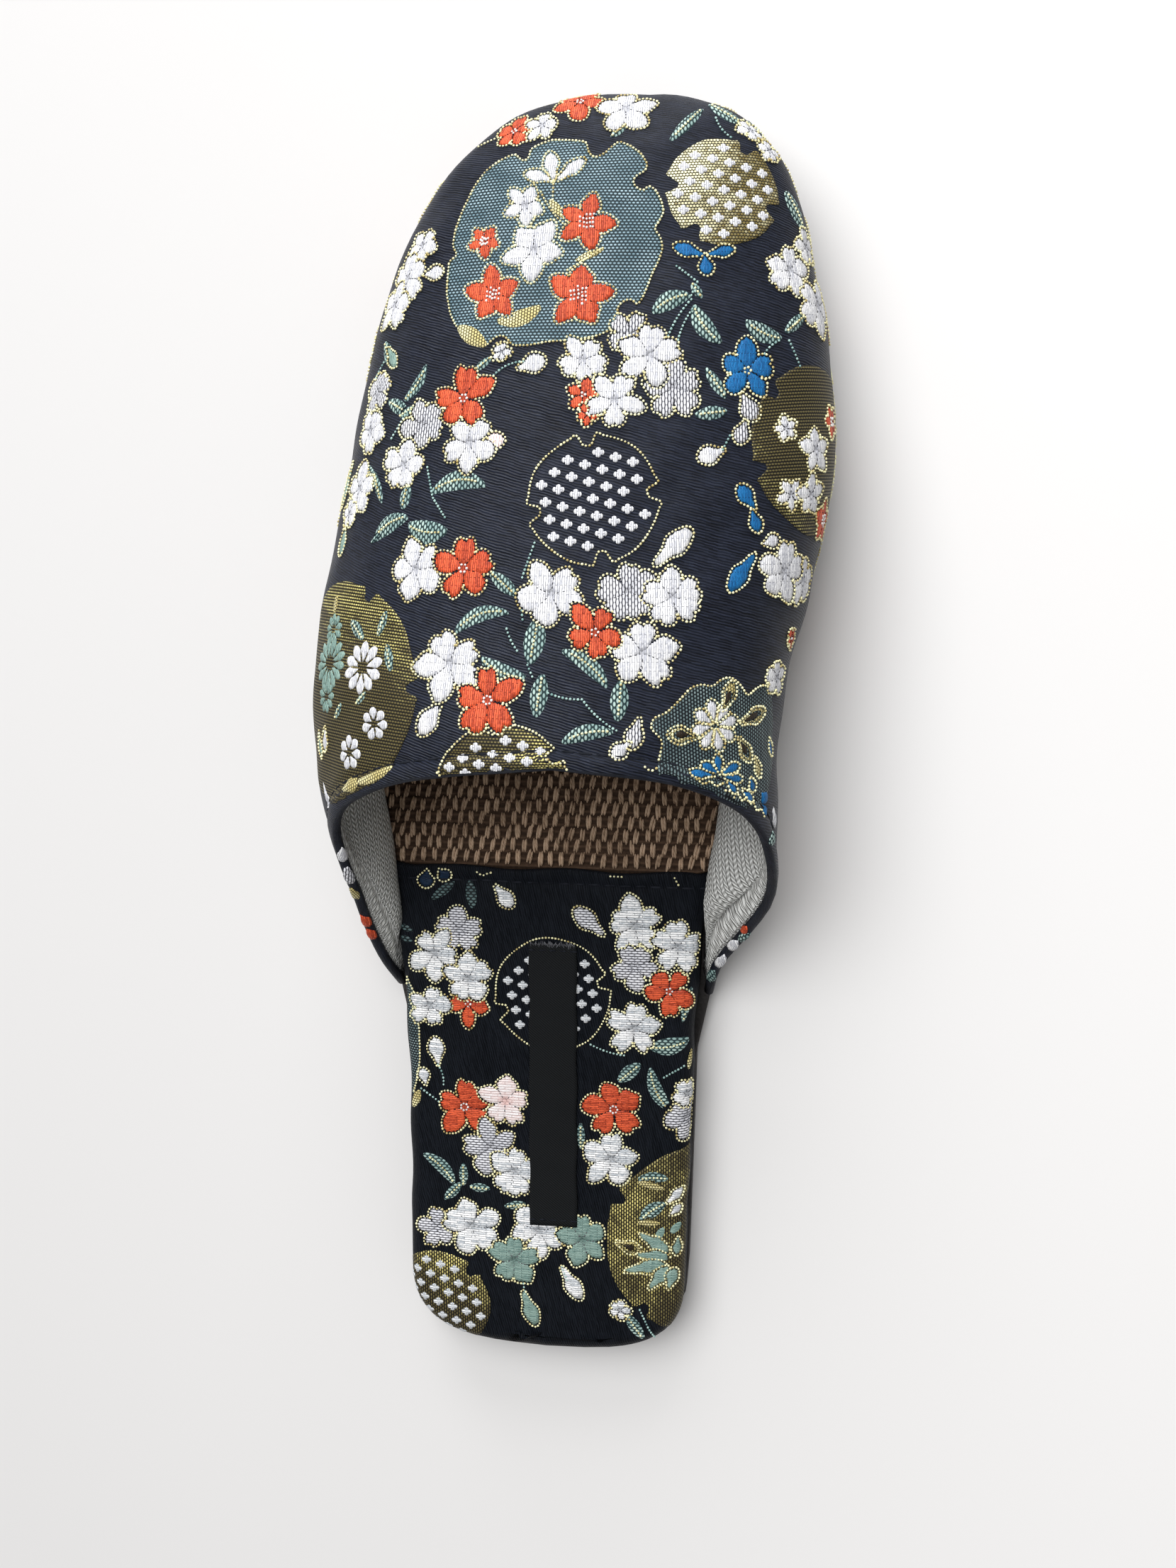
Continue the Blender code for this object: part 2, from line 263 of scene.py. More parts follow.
class Finish:
    def __init__(self, name):
        self.material = bpy.data.materials.new(name)
        self.material.use_nodes = True
        self.tree = self.material.node_tree
        self.shader = self.tree.nodes["Principled BSDF"]

    def node(self, kind, settings=None, sockets=None):
        made = self.tree.nodes.new(kind)
        for key, value in (settings or {}).items():
            setattr(made, key, value)
        for key, value in (sockets or {}).items():
            self.feed(made.inputs[key], value)
        return made

    def feed(self, socket, value):
        if isinstance(value, Wire):
            self.tree.links.new(value.socket, socket)
        else:
            socket.default_value = value

    def wire(self, kind, settings, sockets, output):
        return Wire(self, self.node(kind, settings, sockets).outputs[output])

    def shade(self, **sockets):
        for key, value in sockets.items():
            self.feed(self.shader.inputs[socketNames[key]], value)

    def split(self, vector):  # its three parts
        parts = self.node("ShaderNodeSeparateXYZ", None, {"Vector": vector}).outputs
        return [Wire(self, part) for part in parts]

    def uv(self, turned=False):  # weave coordinates in millimetres, as two wires
        u, v, _ = self.split(self.wire("ShaderNodeUVMap", {"uv_map": "weave"}, {}, "UV"))
        return (v, u) if turned else (u, v)

    def deep(self):  # painted shade that each figure puts on its points; below zero, painted light
        return self.wire("ShaderNodeAttribute", {"attribute_name": "deep"}, {}, "Fac")

    def vector(self, x, y, z=0.0):
        return self.wire("ShaderNodeCombineXYZ", None, {"X": x, "Y": y, "Z": z}, 0)

    def spot(self):
        return self.wire("ShaderNodeTexCoord", None, {}, "Object")

    def noise(self, vector, scale, detail=2.0, roughness=0.5):
        values = {"Vector": vector, "Scale": scale, "Detail": detail, "Roughness": roughness}
        return self.wire("ShaderNodeTexNoise", None, values, "Fac")

    def mix(self, share, *colours):  # sockets 6 and 7 take the two colours, and 2 gives their mix
        first, second = ((*c, 1.0) if isinstance(c, tuple) else c for c in colours)
        return self.wire("ShaderNodeMix", {"data_type": "RGBA"}, {0: share, 6: first, 7: second}, 2)

    def bump(self, height, depth, strength=1.0):
        values = {"Height": height, "Distance": depth * mm, "Strength": strength}
        self.feed(self.shader.inputs["Normal"], self.wire("ShaderNodeBump", None, values, 0))

    def bricks(self, u, v, width, rise, gap, blur=0.3):
        settings = {"offset": 0.5, "offset_frequency": 2}
        values = {"Vector": self.vector(u, v), "Scale": 1.0, "Mortar Size": gap, "Mortar Smooth": blur}
        values.update({"Brick Width": width, "Row Height": rise, "Bias": 0.0})
        values.update({"Color1": (0, 0, 0, 1), "Color2": (1, 1, 1, 1), "Mortar": (0.5, 0.5, 0.5, 1)})
        made = self.node("ShaderNodeTexBrick", settings, values)
        return Wire(self, made.outputs["Color"]), Wire(self, made.outputs["Fac"])


# Materials of the cloth, the threads, the sole and the stage.
def satinFinish(name, turned, dark, light, gloss):  # weft-faced satin of the brocade's ground
    finish = Finish(name)
    u, v = finish.uv(turned)
    ribPitch, floatLength, floatWidth, floatGap = 0.50, 1.7, 0.26, 0.03
    waver = finish.noise(finish.vector(u * 0.35, v * 0.35), 1.0)
    slant = v + u * 0.26 + waver * 0.5
    ribs = (slant * (2 * pi / ribPitch)).sine()
    floats, gaps = finish.bricks(u, slant, floatLength, floatWidth, floatGap)
    cloud = finish.noise(finish.vector(u, v), 0.12, 3.0)
    streak = finish.noise(finish.vector(u * 0.25, slant * 2.2), 1.0, 2.0)
    tone = (floats * 0.3 + cloud * 0.25 + ribs * 0.16 + streak * 0.5).step(0.15, 0.9)
    finish.shade(
        baseColor=finish.mix(tone, dark, light),
        roughness=0.52 - cloud * 0.12 - ribs * 0.05,
        specular=gloss,
    )
    finish.bump(ribs * 0.6 - gaps * 0.5 + floats * 0.2 + streak * 0.3, 0.13, 0.85)
    return finish.material


def threadFinish(name, bright, dark, gap, gapShare=0.75, roughness=0.5, width=3.2, rise=0.27):
    finish = Finish(name)  # long floats laid side by side
    u, v = finish.uv()
    waver = finish.noise(finish.vector(u * 0.8, v * 0.8), 1.0)
    floats, gaps = finish.bricks(u, v + waver * 0.25, width, rise, 0.05, 0.8)
    cloud = finish.noise(finish.vector(u * 1.1, v * 2.4), 1.3, 3.0)
    tone = finish.mix((floats * 0.3 + cloud * 0.9).step(0.38, 0.76), dark, bright)
    # the deep attribute mixes painted shade in, towards the gap colour
    finish.shade(
        baseColor=finish.mix((gaps * gapShare).most(finish.deep()), tone, gap),
        roughness=roughness + gaps * 0.3,
        specular=0.25,
    )
    finish.bump((1 - gaps) + floats * 0.35 + cloud * 0.8, 0.20, 0.9)
    return finish.material


def latticeFinish(
    name, bright, dark, ground, pitch, half,
    across=False, shine=(0.3, 0.8), paintedGlintShare=0.0, metal=0.0, bands=0.0,
):
    # Short dashes in staggered columns over a dark ground, brighter where the wefts lie proud.
    finish = Finish(name)
    u, v = finish.uv(across)
    column = (v / pitch[1]).floor()
    x = ((u / pitch[0] + column * 0.5).fract() - 0.5) * (pitch[0] / half[0])
    y = ((v / pitch[1]).fract() - 0.5) * (pitch[1] / half[1])
    near = 1 - (x * x + y * y).step(0.45, 1.3)
    cloud = finish.noise(finish.vector(u, v), 0.16, 3.0)
    streak = finish.noise(finish.vector(u * 0.05 + v * 0.02, v * 0.45 + u * 0.10), 1.0, 2.0)
    # painted glints: single dashes lifted at random towards the bright colour
    paintedGlints = finish.noise(finish.vector((u / pitch[0] + column * 0.5).floor() * 7.3, column * 3.7), 1.0, 0.0)
    tone = cloud * (1 - bands - paintedGlintShare) + streak * bands + paintedGlints * paintedGlintShare
    # painted light and shade from the deep attribute: above zero darker, below zero lighter
    tone = (tone - finish.deep()).step(*shine)
    finish.shade(
        baseColor=finish.mix(near, ground, finish.mix(tone, dark, bright)),
        roughness=0.62 - near * 0.2,
        metallic=near * metal,
        specular=0.25,
    )
    finish.bump(near, 0.16, 0.9)
    return finish.material


def beadFinish(name, colour, dark, metal, roughness, shine=0.4):  # couched outline thread
    finish = Finish(name)
    cloud = finish.noise(finish.spot(), 1100.0, 2.0)
    patch = finish.noise(finish.spot(), 60.0, 2.0)
    finish.shade(
        baseColor=finish.mix((cloud * 0.9 + patch * 0.4).step(0.42, 0.78), dark, colour),
        metallic=metal,
        roughness=roughness + cloud * 0.15,
        specular=shine,
    )
    return finish.material


def liningFinish():  # off-white twill, slanted one way and the other in narrow columns
    finish = Finish("liningTwill")
    u, v = finish.uv()
    columnWidth, ribPitch, slant = 1.2, 1.05, 0.8
    column = (u / columnWidth).floor()
    lean = (column * 0.5).fract() * 4.0 - 1.0  # -1 and 1 by turns
    ribs = ((v + u * lean * slant) * (2 * pi / ribPitch)).sine()
    columns = ((u / columnWidth).fract() - 0.5).size().step(0.30, 0.5)
    cloud = finish.noise(finish.vector(u, v), 0.25, 3.0)
    tone = (ribs * 0.30 + 0.52 - columns * 0.45 + cloud * 0.3).step(0.0, 1.0)
    finish.shade(
        baseColor=finish.mix(tone, (0.24, 0.24, 0.228), (0.78, 0.79, 0.77)),
        roughness=0.85,
        specular=0.25,
    )
    finish.bump(ribs * 0.6 - columns * 1.2, 0.24, 0.9)
    return finish.material


def juteFinish(name, light, dark):  # coarse plant-fibre yarn
    finish = Finish(name)
    spot = finish.spot()
    x, y, _ = finish.split(spot)
    fibres = finish.noise(finish.vector(x * 4.5 + y * 1.6, y * 0.8), 900.0, 3.0, 0.6)
    lots = finish.noise(spot, 220.0, 2.0)
    finish.shade(
        baseColor=finish.mix((fibres * 0.8 + lots * 0.5).step(0.40, 0.85), dark, light),
        roughness=0.9,
        specular=0.15,
    )
    finish.bump(fibres, 0.50, 1.0)
    return finish.material


def weftFinish():  # dark cross yarns under the plant-fibre nubs
    finish = Finish("juteWeft")
    spot = finish.spot()
    _, y, _ = finish.split(spot)
    fibres = finish.noise(spot, 1500.0, 3.0)
    ribPitch = 1.5 * mm
    ribs = (y * (2 * pi / ribPitch)).sine()
    finish.shade(
        baseColor=finish.mix(fibres * 0.7 + ribs * 0.2, (0.028, 0.016, 0.010), (0.120, 0.074, 0.048)),
        roughness=0.92,
        specular=0.15,
    )
    finish.bump(ribs * 0.8 + fibres * 0.5, 0.5, 0.8)
    return finish.material


def ribbonFinish():  # black twill ribbon
    finish = Finish("ribbonTwill")
    u, v = finish.uv()
    ribPitch = 0.55
    twill = ((u * 0.8 + v) * (2 * pi / ribPitch)).sine()
    fuzz = finish.noise(finish.vector(u, v), 6.0, 3.0)
    finish.shade(
        baseColor=finish.mix(twill * 0.25 + fuzz * 0.6, (0.0030, 0.0034, 0.0040), (0.018, 0.020, 0.022)),
        roughness=0.82,
        specular=0.15,
    )
    finish.bump(twill * 0.7 + fuzz * 0.3, 0.12, 0.8)
    return finish.material


def outsoleFinish():  # plain dark sole with a fine pebble
    finish = Finish("outsoleRubber")
    spot = finish.spot()
    pebble = finish.wire("ShaderNodeTexVoronoi", None, {"Vector": spot, "Scale": 900.0}, "Distance")
    scuff = finish.noise(spot, 60.0, 4.0)
    finish.shade(
        baseColor=finish.mix(scuff, (0.010, 0.009, 0.009), (0.030, 0.027, 0.026)),
        roughness=0.75 - scuff * 0.15,
        specular=0.3,
    )
    finish.bump(pebble, 0.25, 0.7)
    return finish.material


def floorFinish():
    finish = Finish("paleFloor")
    spot = finish.spot()
    x, _, _ = finish.split(spot)
    share = (x + finish.noise(spot, 3.0, 2.0) * 0.04).step(-0.18, 0.20)  # painted shade: the floor is painted darker on the outer side
    finish.shade(baseColor=finish.mix(share, (0.665, 0.658, 0.655), (0.800, 0.792, 0.788)), roughness=0.65)
    return finish.material


night = (0.010, 0.030, 0.034)  # dark teal showing between a leaf's dashes
leafDash = ((1.25, 0.60), (0.48, 0.26))  # pitch and half size of the dashes
finishes = {
    "satin": satinFinish("brocadeSatin", False, (0.0010, 0.0016, 0.0042), (0.0200, 0.0255, 0.0450), 0.20),
    # The heel's satin is a darker copy of the vamp's: painted shade for the dimmer light on the heel.
    "heelSatinPaintedShade": satinFinish(
        "brocadeSatinTurned", True, (0.0020, 0.0026, 0.0040), (0.0125, 0.0150, 0.0205), 0.07
    ),
    "white": threadFinish(
        "whiteFloats", (0.95, 0.95, 0.96), (0.52, 0.53, 0.58), (0.22, 0.23, 0.28), 0.65, rise=0.42
    ),
    # The heel's white is painted lighter in its floats and darker in its gaps than the vamp's, for the light
    # on the heel.
    "heelWhite": threadFinish(
        "whiteFloatsTurned", (1.00, 1.00, 1.00), (0.46, 0.50, 0.54), (0.15, 0.16, 0.18), 0.85, rise=0.49
    ),
    "shaded": latticeFinish(
        "paleHatch", (0.92, 0.92, 0.95), (0.66, 0.67, 0.72), (0.06, 0.06, 0.075), (1.25, 0.55), (0.68, 0.23)
    ),
    "red": threadFinish(
        "redFloats", (0.84, 0.126, 0.046), (0.38, 0.042, 0.015), (0.17, 0.018, 0.008), rise=0.40
    ),
    "pink": threadFinish(
        "pinkHatch", (0.88, 0.84, 0.84), (0.84, 0.70, 0.68), (0.66, 0.22, 0.17), width=3.0, rise=0.55
    ),
    "blue": threadFinish("blueFloats", (0.011, 0.190, 0.490), (0.005, 0.105, 0.310), (0.003, 0.030, 0.100)),
    # a darker copy of the blue: painted shade where the upper shades the heel's front
    "inkBlue": threadFinish(
        "inkBlueFloats", (0.008, 0.030, 0.075), (0.004, 0.015, 0.040), (0.002, 0.006, 0.015)
    ),
    "umber": threadFinish("umberFloats", (0.036, 0.022, 0.010), (0.014, 0.009, 0.005), (0.006, 0.004, 0.003)),
    "teal": threadFinish("tealFloats", (0.350, 0.500, 0.440), (0.180, 0.300, 0.270), (0.020, 0.045, 0.042)),
    "leaf": latticeFinish("leafTwill", (0.52, 0.67, 0.61), (0.20, 0.32, 0.31), night, *leafDash, bands=0.3),
    # a darker copy of the leaf: painted shade where the upper shades the heel's front
    "duskLeaf": latticeFinish(
        "duskLeafTwill", (0.13, 0.20, 0.20), (0.05, 0.085, 0.09), (0.004, 0.009, 0.011), *leafDash, bands=0.3
    ),
    "gilt": latticeFinish(
        "giltTwill", (1.00, 0.95, 0.58), (0.56, 0.46, 0.17), (0.080, 0.066, 0.022),
        (0.60, 0.56), (0.28, 0.25), metal=0.1,
    ),
    "tealGround": latticeFinish(
        "tealGround", (0.42, 0.57, 0.64), (0.13, 0.225, 0.275), (0.010, 0.025, 0.032),
        (0.76, 0.58), (0.30, 0.19), across=True, bands=0.4,
    ),
    # a darker copy of the teal ground: painted shade for the rings at the throat's inner end and over the
    # heel's outer edge
    "duskGround": latticeFinish(
        "duskGround", (0.28, 0.37, 0.37), (0.08, 0.125, 0.135), (0.005, 0.009, 0.012),
        (0.66, 0.56), (0.25, 0.18), bands=0.4,
    ),
    "bronzeGround": latticeFinish(
        "bronzeGround", (0.86, 0.76, 0.27), (0.150, 0.122, 0.046), (0.010, 0.008, 0.004),
        (0.62, 0.58), (0.28, 0.17), across=True, shine=(0.43, 0.76), paintedGlintShare=0.25, metal=0.2, bands=0.5,
    ),
    "heelBronze": latticeFinish(
        "bronzeGroundTurned", (0.92, 0.80, 0.28), (0.135, 0.110, 0.044), (0.008, 0.006, 0.003),
        (0.84, 0.52), (0.36, 0.17), across=True, shine=(0.42, 0.76), paintedGlintShare=0.4, metal=0.2, bands=0.1,
    ),
    "goldGround": latticeFinish(
        "goldGround", (1.00, 0.96, 0.62), (0.20, 0.155, 0.05), (0.024, 0.019, 0.008),
        (0.60, 0.56), (0.28, 0.24), across=True, shine=(0.30, 0.64), paintedGlintShare=0.35, metal=0.1, bands=0.35,
    ),
    "goldBead": beadFinish("goldBead", (1.00, 0.97, 0.60), (0.40, 0.30, 0.095), 0.1, 0.30),
    "tealBead": beadFinish("tealBead", (0.440, 0.620, 0.580), (0.150, 0.280, 0.270), 0.0, 0.5),
    "whiteBead": beadFinish("whiteBead", (0.88, 0.86, 0.84), (0.66, 0.60, 0.58), 0.0, 0.5),
    "greyThread": beadFinish("greyThread", (0.130, 0.132, 0.145), (0.045, 0.046, 0.055), 0.0, 0.6, 0.2),
    "darkThread": beadFinish("darkThread", (0.014, 0.016, 0.022), (0.005, 0.006, 0.009), 0.0, 0.7, 0.1),
    "lining": liningFinish(),
    "jute": juteFinish("juteYarn", (0.640, 0.465, 0.325), (0.200, 0.128, 0.082)),
    "weft": weftFinish(),
    "ribbon": ribbonFinish(),
    "outsole": outsoleFinish(),
    "floor": floorFinish(),
}
print("materials made:", len(finishes))


# Mesh helpers.
def addObject(name, points, faces, weave, finish, recalculate=False, deep=None):
    mesh = bpy.data.meshes.new(name)
    mesh.from_pydata([tuple(p) for p in points], [], faces)
    if recalculate:
        work = bmesh.new()
        work.from_mesh(mesh)
        bmesh.ops.recalc_face_normals(work, faces=work.faces)
        work.to_mesh(mesh)
        work.free()
    layer = mesh.uv_layers.new(name="weave")
    order = np.empty(len(mesh.loops), dtype=np.int32)
    mesh.loops.foreach_get("vertex_index", order)
    layer.data.foreach_set("uv", np.array(weave, dtype=np.float32)[order].ravel())
    # deep holds each point's painted shade
    if deep:
        shade = mesh.attributes.new("deep", "FLOAT", "POINT")
        shade.data.foreach_set("value", np.array(deep, dtype=np.float32))
    mesh.shade_smooth()
    mesh.materials.append(finishes[finish])
    obj = bpy.data.objects.new(name, mesh)
    bpy.context.scene.collection.objects.link(obj)
    return obj


def pointNormals(points, faces):
    spots = np.array([tuple(p) for p in points])
    sums = np.zeros_like(spots)
    for face in faces:
        corners = spots[list(face)]
        normal = np.cross(corners[1] - corners[0], corners[-1] - corners[0])
        normal += np.cross(corners[0] - corners[-1], corners[-2] - corners[-1]) * (len(face) > 3)
        for i in face:
            sums[i] += normal
    lengths = np.maximum(np.linalg.norm(sums, axis=1, keepdims=True), 1e-12)
    return [Vector(n) for n in sums / lengths]


def closedShell(name, sheet, outer, inner, finish, roll):
    # Outer and inner hold each point's depth under the sheet; roll rounds the throat's edge over.
    points = [p - n * d * mm for p, n, d in zip(sheet["points"], sheet["normals"], outer)]
    count = len(points)
    points += [p - n * d * mm for p, n, d in zip(sheet["points"], sheet["normals"], inner)]
    weave = list(sheet["weave"]) * 2
    faces = list(sheet["faces"]) + [tuple(i + count for i in reversed(face)) for face in sheet["faces"]]
    rims = []
    for i, behind in sheet["throat"]:
        rim = [i]
        if roll:
            outwards = (sheet["points"][i] - sheet["points"][behind]).normalized()
            middle, half = (points[i] + points[i + count]) / 2, (points[i] - points[i + count]) / 2
            for angle in evenly(0.0, pi, 7)[1:-1]:
                points.append(middle + half * cos(angle) + outwards * half.length * sin(angle) * roll)
                weave.append((sheet["weave"][i][0], sheet["weave"][i][1] - 2.0 * angle))
                rim.append(len(points) - 1)
        rims.append(rim + [i + count])
    rims += [[i, i + count] for i in sheet["feather"]] + [rims[0]]
    for first, second in zip(rims, rims[1:]):
        if len(first) == len(second):
            for k in range(len(first) - 1):
                faces.append((first[k], first[k + 1], second[k + 1], second[k]))
        else:  # where a rolled edge meets a plain one
            faces.append((*first, *reversed(second)))
    return addObject(name, points, faces, weave, finish, recalculate=True)


# Upper: a lined brocade wall with a folded, stitched hem along the throat.
upper = {
    "wallThick": 2.0,
    "hemThick": 2.8,
    "rimThick": 2.0,
    "stitchIn": 3.1,
    "stitchDip": 0.35,
    "stitchWide": 0.55,
    "hemPuff": 0.35,
    "ripple": 0.22,
    "wallShare": 0.3,
    "wallRows": 10,
    "vaultRows": 34,
    "stations": 62,
    "fanColumns": 26,
    "poleAlong": 230.0,
    "wingEnd": 95.0,
    "wingFront": 118.0,
    "fitGap": 0.3,
    "hemReach": 8.0,
    "creaseFrom": (8.0, 16.0),  # folds and ripples begin at this height over the sole
    "brocadeThick": 1.0,
    "rimTo": (0.9, 1.6),  # where the folded edge thins to the brocade, from the throat
    "liningTop": 0.9,
    "liningEdge": 1.3,
    "liningSwell": 0.75,
    "liningTo": (0.5, 1.6),
}
pad = {  # the lining swells in, to lie on the edge of the insole
    "in": 1.8,
    "rises": (11.0, 12.4),
    "fades": (13.0, 32.0),
    "ends": (150.0, 175.0),
    "fromEdge": (0.8, 7.5),
}
crease = namedtuple("crease", "fromAcross fromAlong fromHeight toAcross toAlong toHeight depth width")
creases = (
    crease(47.0, 139.0, 27.0, 50.0, 172.0, 20.0, 1.1, 4.5),
    crease(-41.0, 112.0, 20.0, -43.5, 140.0, 16.0, 0.7, 4.0),
    crease(-24.0, 232.0, 24.0, -6.0, 244.0, 27.0, 0.5, 4.0),
    crease(12.0, 141.0, 60.0, 13.0, 170.0, 53.0, -0.4, 9.0),
    crease(40.0, 128.0, 46.0, 46.0, 150.0, 33.0, 0.5, 5.0),
)


def featherGrow(along):
    wing = 1 - ramp(along, upper["wingEnd"], upper["wingFront"])
    return upper["fitGap"] + upper["wallThick"] + (upper["hemThick"] - upper["wallThick"]) * wing


def featherPoint(along, side):
    across = planAcross(along, side, featherGrow(along))
    return Vector((across, along, sole["footbedBottom"] + toeLift(along)))


def upperPoint(foot, topAcross, topAlong, side, share):
    bulge = section[sideName[side] + "Bulge"](foot.y)
    widest = section[sideName[side] + "Height"](foot.y)
    power = 2 / section[sideName[side] + "Fullness"](foot.y)
    outX, outY = foot.x - topAcross, foot.y - topAlong
    length = hypot(outX, outY)
    outX, outY = outX / length, outY / length
    wall = upper["wallShare"]
    if share <= wall:
        swell = bulge * sin(pi / 2 * share / wall)
        height = foot.z + (widest - foot.z) * share / wall
        return Vector((foot.x + outX * swell, foot.y + outY * swell, height))
    angle = pi / 2 * (share - wall) / (1 - wall)
    reach = (length + bulge) * max(0.0, cos(angle)) ** power
    along = topAlong + outY * reach
    height = widest + (section["ridgeHeight"](along) - widest) * sin(angle) ** power
    return Vector((topAcross + outX * reach, along, height))


def flankPoint(along, side, share):
    return upperPoint(featherPoint(along, side), section["ridgeAcross"](along), along, side, share)


def edgeStretch(side, share):  # along-foot length of each millimetre measured square to the throat's edge
    low, high = max(0.0, share - 0.01), min(1.0, share + 0.01)
    edge = flankPoint(throat[side](high), side, high) - flankPoint(throat[side](low), side, low)
    return 1 / max(0.4, hypot(edge.x, edge.z) / edge.length)


def hemLift(fromEdge):  # the folded edge stands proud, and the stitch line pulls in behind it
    dip = upper["stitchDip"] * exp(-(((fromEdge - upper["stitchIn"]) / upper["stitchWide"]) ** 2))
    return upper["hemPuff"] * sin(pi * min(1.0, fromEdge / upper["stitchIn"])) - dip


def creaseLift(point):
    total = 0.0
    for fold in creases:
        start = Vector((fold.fromAcross, fold.fromAlong, fold.fromHeight))
        run = Vector((fold.toAcross, fold.toAlong, fold.toHeight)) - start
        t = max(0.0, min(1.0, (point - start).dot(run) / run.length_squared))
        gap = (point - start - run * t).length
        total -= fold.depth * exp(-((gap / fold.width) ** 2)) * sin(pi * (0.15 + 0.7 * t))
    wave = sin(point.x * 0.21 + point.y * 0.13) * sin(point.y * 0.17 - point.z * 0.24 + 1.3)
    wave += 0.5 * sin(point.x * 0.43 - point.y * 0.31 + point.z * 0.38)
    return total + upper["ripple"] * wave


def upperSheet():
    sheet = {"points": [], "weave": [], "faces": [], "fromEdge": []}

    def add(point, fromEdge):
        sheet["points"].append(point)
        sheet["fromEdge"].append(fromEdge)
        sheet["weave"].append((0.0, 0.0))
        return len(sheet["points"]) - 1

    wall = upper["wallShare"]
    shares = [wall * i / upper["wallRows"] for i in range(upper["wallRows"])]
    shares += evenly(wall, 1.0, upper["vaultRows"] + 1)
    hemSteps = (0.0, 0.5, 1.1, 1.8, 2.6, 3.3, 3.9, 4.4, 4.9, 5.5, 6.4)
    strips = {}
    for side in (lateral, medial):
        strips[side] = []
        for share in shares:
            if side == medial and share == 1.0:
                strips[side].append(strips[lateral][-1])
                continue
            stretch = edgeStretch(side, share)
            edge = throat[side](share)
            steps = [edge + step * stretch for step in hemSteps]
            places = steps + evenly(steps[-1], upper["poleAlong"], upper["stations"])[1:]
            strips[side].append([add(flankPoint(y, side, share), (y - edge) / stretch) for y in places])
        for lower, higher in zip(strips[side], strips[side][1:]):
            for k in range(len(lower) - 1):
                quad = (lower[k], lower[k + 1], higher[k + 1], higher[k])
                sheet["faces"].append(quad if side == medial else quad[::-1])
        for k in range(len(strips[side][0])):  # weave runs out from the ridge, row by row
            girth = 0.0
            for i in range(len(shares) - 1, -1, -1):
                here = strips[side][i][k]
                if i < len(shares) - 1:
                    girth += (sheet["points"][here] - sheet["points"][strips[side][i + 1][k]]).length
                sheet["weave"][here] = (side * girth, sheet["points"][here].y)
    pole = strips[lateral][-1][-1]
    farIn = upper["poleAlong"]  # the toe's fan lies far from the throat's edge
    columns = [[strip[-1] for strip in strips[lateral][:-1]]]
    grow = upper["fitGap"] + upper["wallThick"]
    toeLength = sole["length"] + grow - sole["toeRound"]
    first = acos(((upper["poleAlong"] - sole["toeRound"]) / toeLength) ** (sole["toeSquareness"] / 2))
    angles = evenly(first, 0.0, upper["fanColumns"] + 1)
    places = [sole["toeRound"] + toeLength * cos(a) ** (2 / sole["toeSquareness"]) for a in angles]
    feet = [(y, lateral) for y in places[1:]] + [(y, medial) for y in places[-2:0:-1]]
    top = sheet["points"][pole]
    for y, side in feet:
        foot = featherPoint(y, side)
        column = [add(upperPoint(foot, top.x, top.y, side, share), farIn) for share in shares[:-1]]
        girth, above = 0.0, top
        heading = atan2(foot.x - top.x, foot.y - top.y)
        for here in reversed(column):
            girth += (sheet["points"][here] - above).length
            above = sheet["points"][here]
            sheet["weave"][here] = (girth * sin(heading), top.y + girth * cos(heading))
        columns.append(column)
    columns.append([strip[-1] for strip in strips[medial][:-1]])
    for left, right in zip(columns, columns[1:]):
        for k in range(len(left) - 1):
            sheet["faces"].append((left[k], left[k + 1], right[k + 1], right[k]))
        sheet["faces"].append((right[-1], left[-1], pole))
    edgeStrips = strips[lateral] + strips[medial][-2::-1]
    sheet["throat"] = [(strip[0], strip[1]) for strip in edgeStrips]
    toe = [column[0] for column in reversed(columns[1:-1])]
    sheet["feather"] = strips[medial][0][1:] + toe + strips[lateral][0][:0:-1]
    normals = pointNormals(sheet["points"], sheet["faces"])
    raised = []
    for point, normal, fromEdge in zip(sheet["points"], normals, sheet["fromEdge"]):
        lift = creaseLift(point) * ramp(point.z, *upper["creaseFrom"])
        if fromEdge < upper["hemReach"]:
            lift += hemLift(fromEdge)
        raised.append(place(*(point + normal * lift)))
    sheet["points"] = raised
    sheet["normals"] = pointNormals(raised, sheet["faces"])
    return sheet


upperCloth = upperSheet()
upperCount = len(upperCloth["points"])
thinning = upper["rimThick"] - upper["brocadeThick"]
brocadeInner = [upper["rimThick"] - thinning * ramp(d, *upper["rimTo"]) for d in upperCloth["fromEdge"]]
brocade = closedShell("upperBrocade", upperCloth, [0.0] * upperCount, brocadeInner, "satin", 0.85)


def liningPad(point, fromEdge):
    along, height = (point.y - heelY) / mm, point.z / mm
    side = medial if (point.x - heelX) / mm > planCentre(along) else lateral
    outside = side * ((point.x - heelX) / mm - planAcross(along, side))
    reach = outside - upper["wallThick"] - upper["fitGap"] + pad["in"] * ramp(height, *pad["rises"])
    foot = (1 - ramp(height, *pad["fades"])) * (1 - ramp(along, *pad["ends"]))
    return max(0.0, reach) * foot * ramp(fromEdge, *pad["fromEdge"])


liningOuter = [upper["liningTop"]] * upperCount
liningInner = [
    upper["liningEdge"] + upper["liningSwell"] * ramp(d, *upper["liningTo"]) + liningPad(point, d)
    for point, d in zip(upperCloth["points"], upperCloth["fromEdge"])
]
lining = closedShell("upperLining", upperCloth, liningOuter, liningInner, "lining", 0.0)
print("upper made:", upperCount, "points")


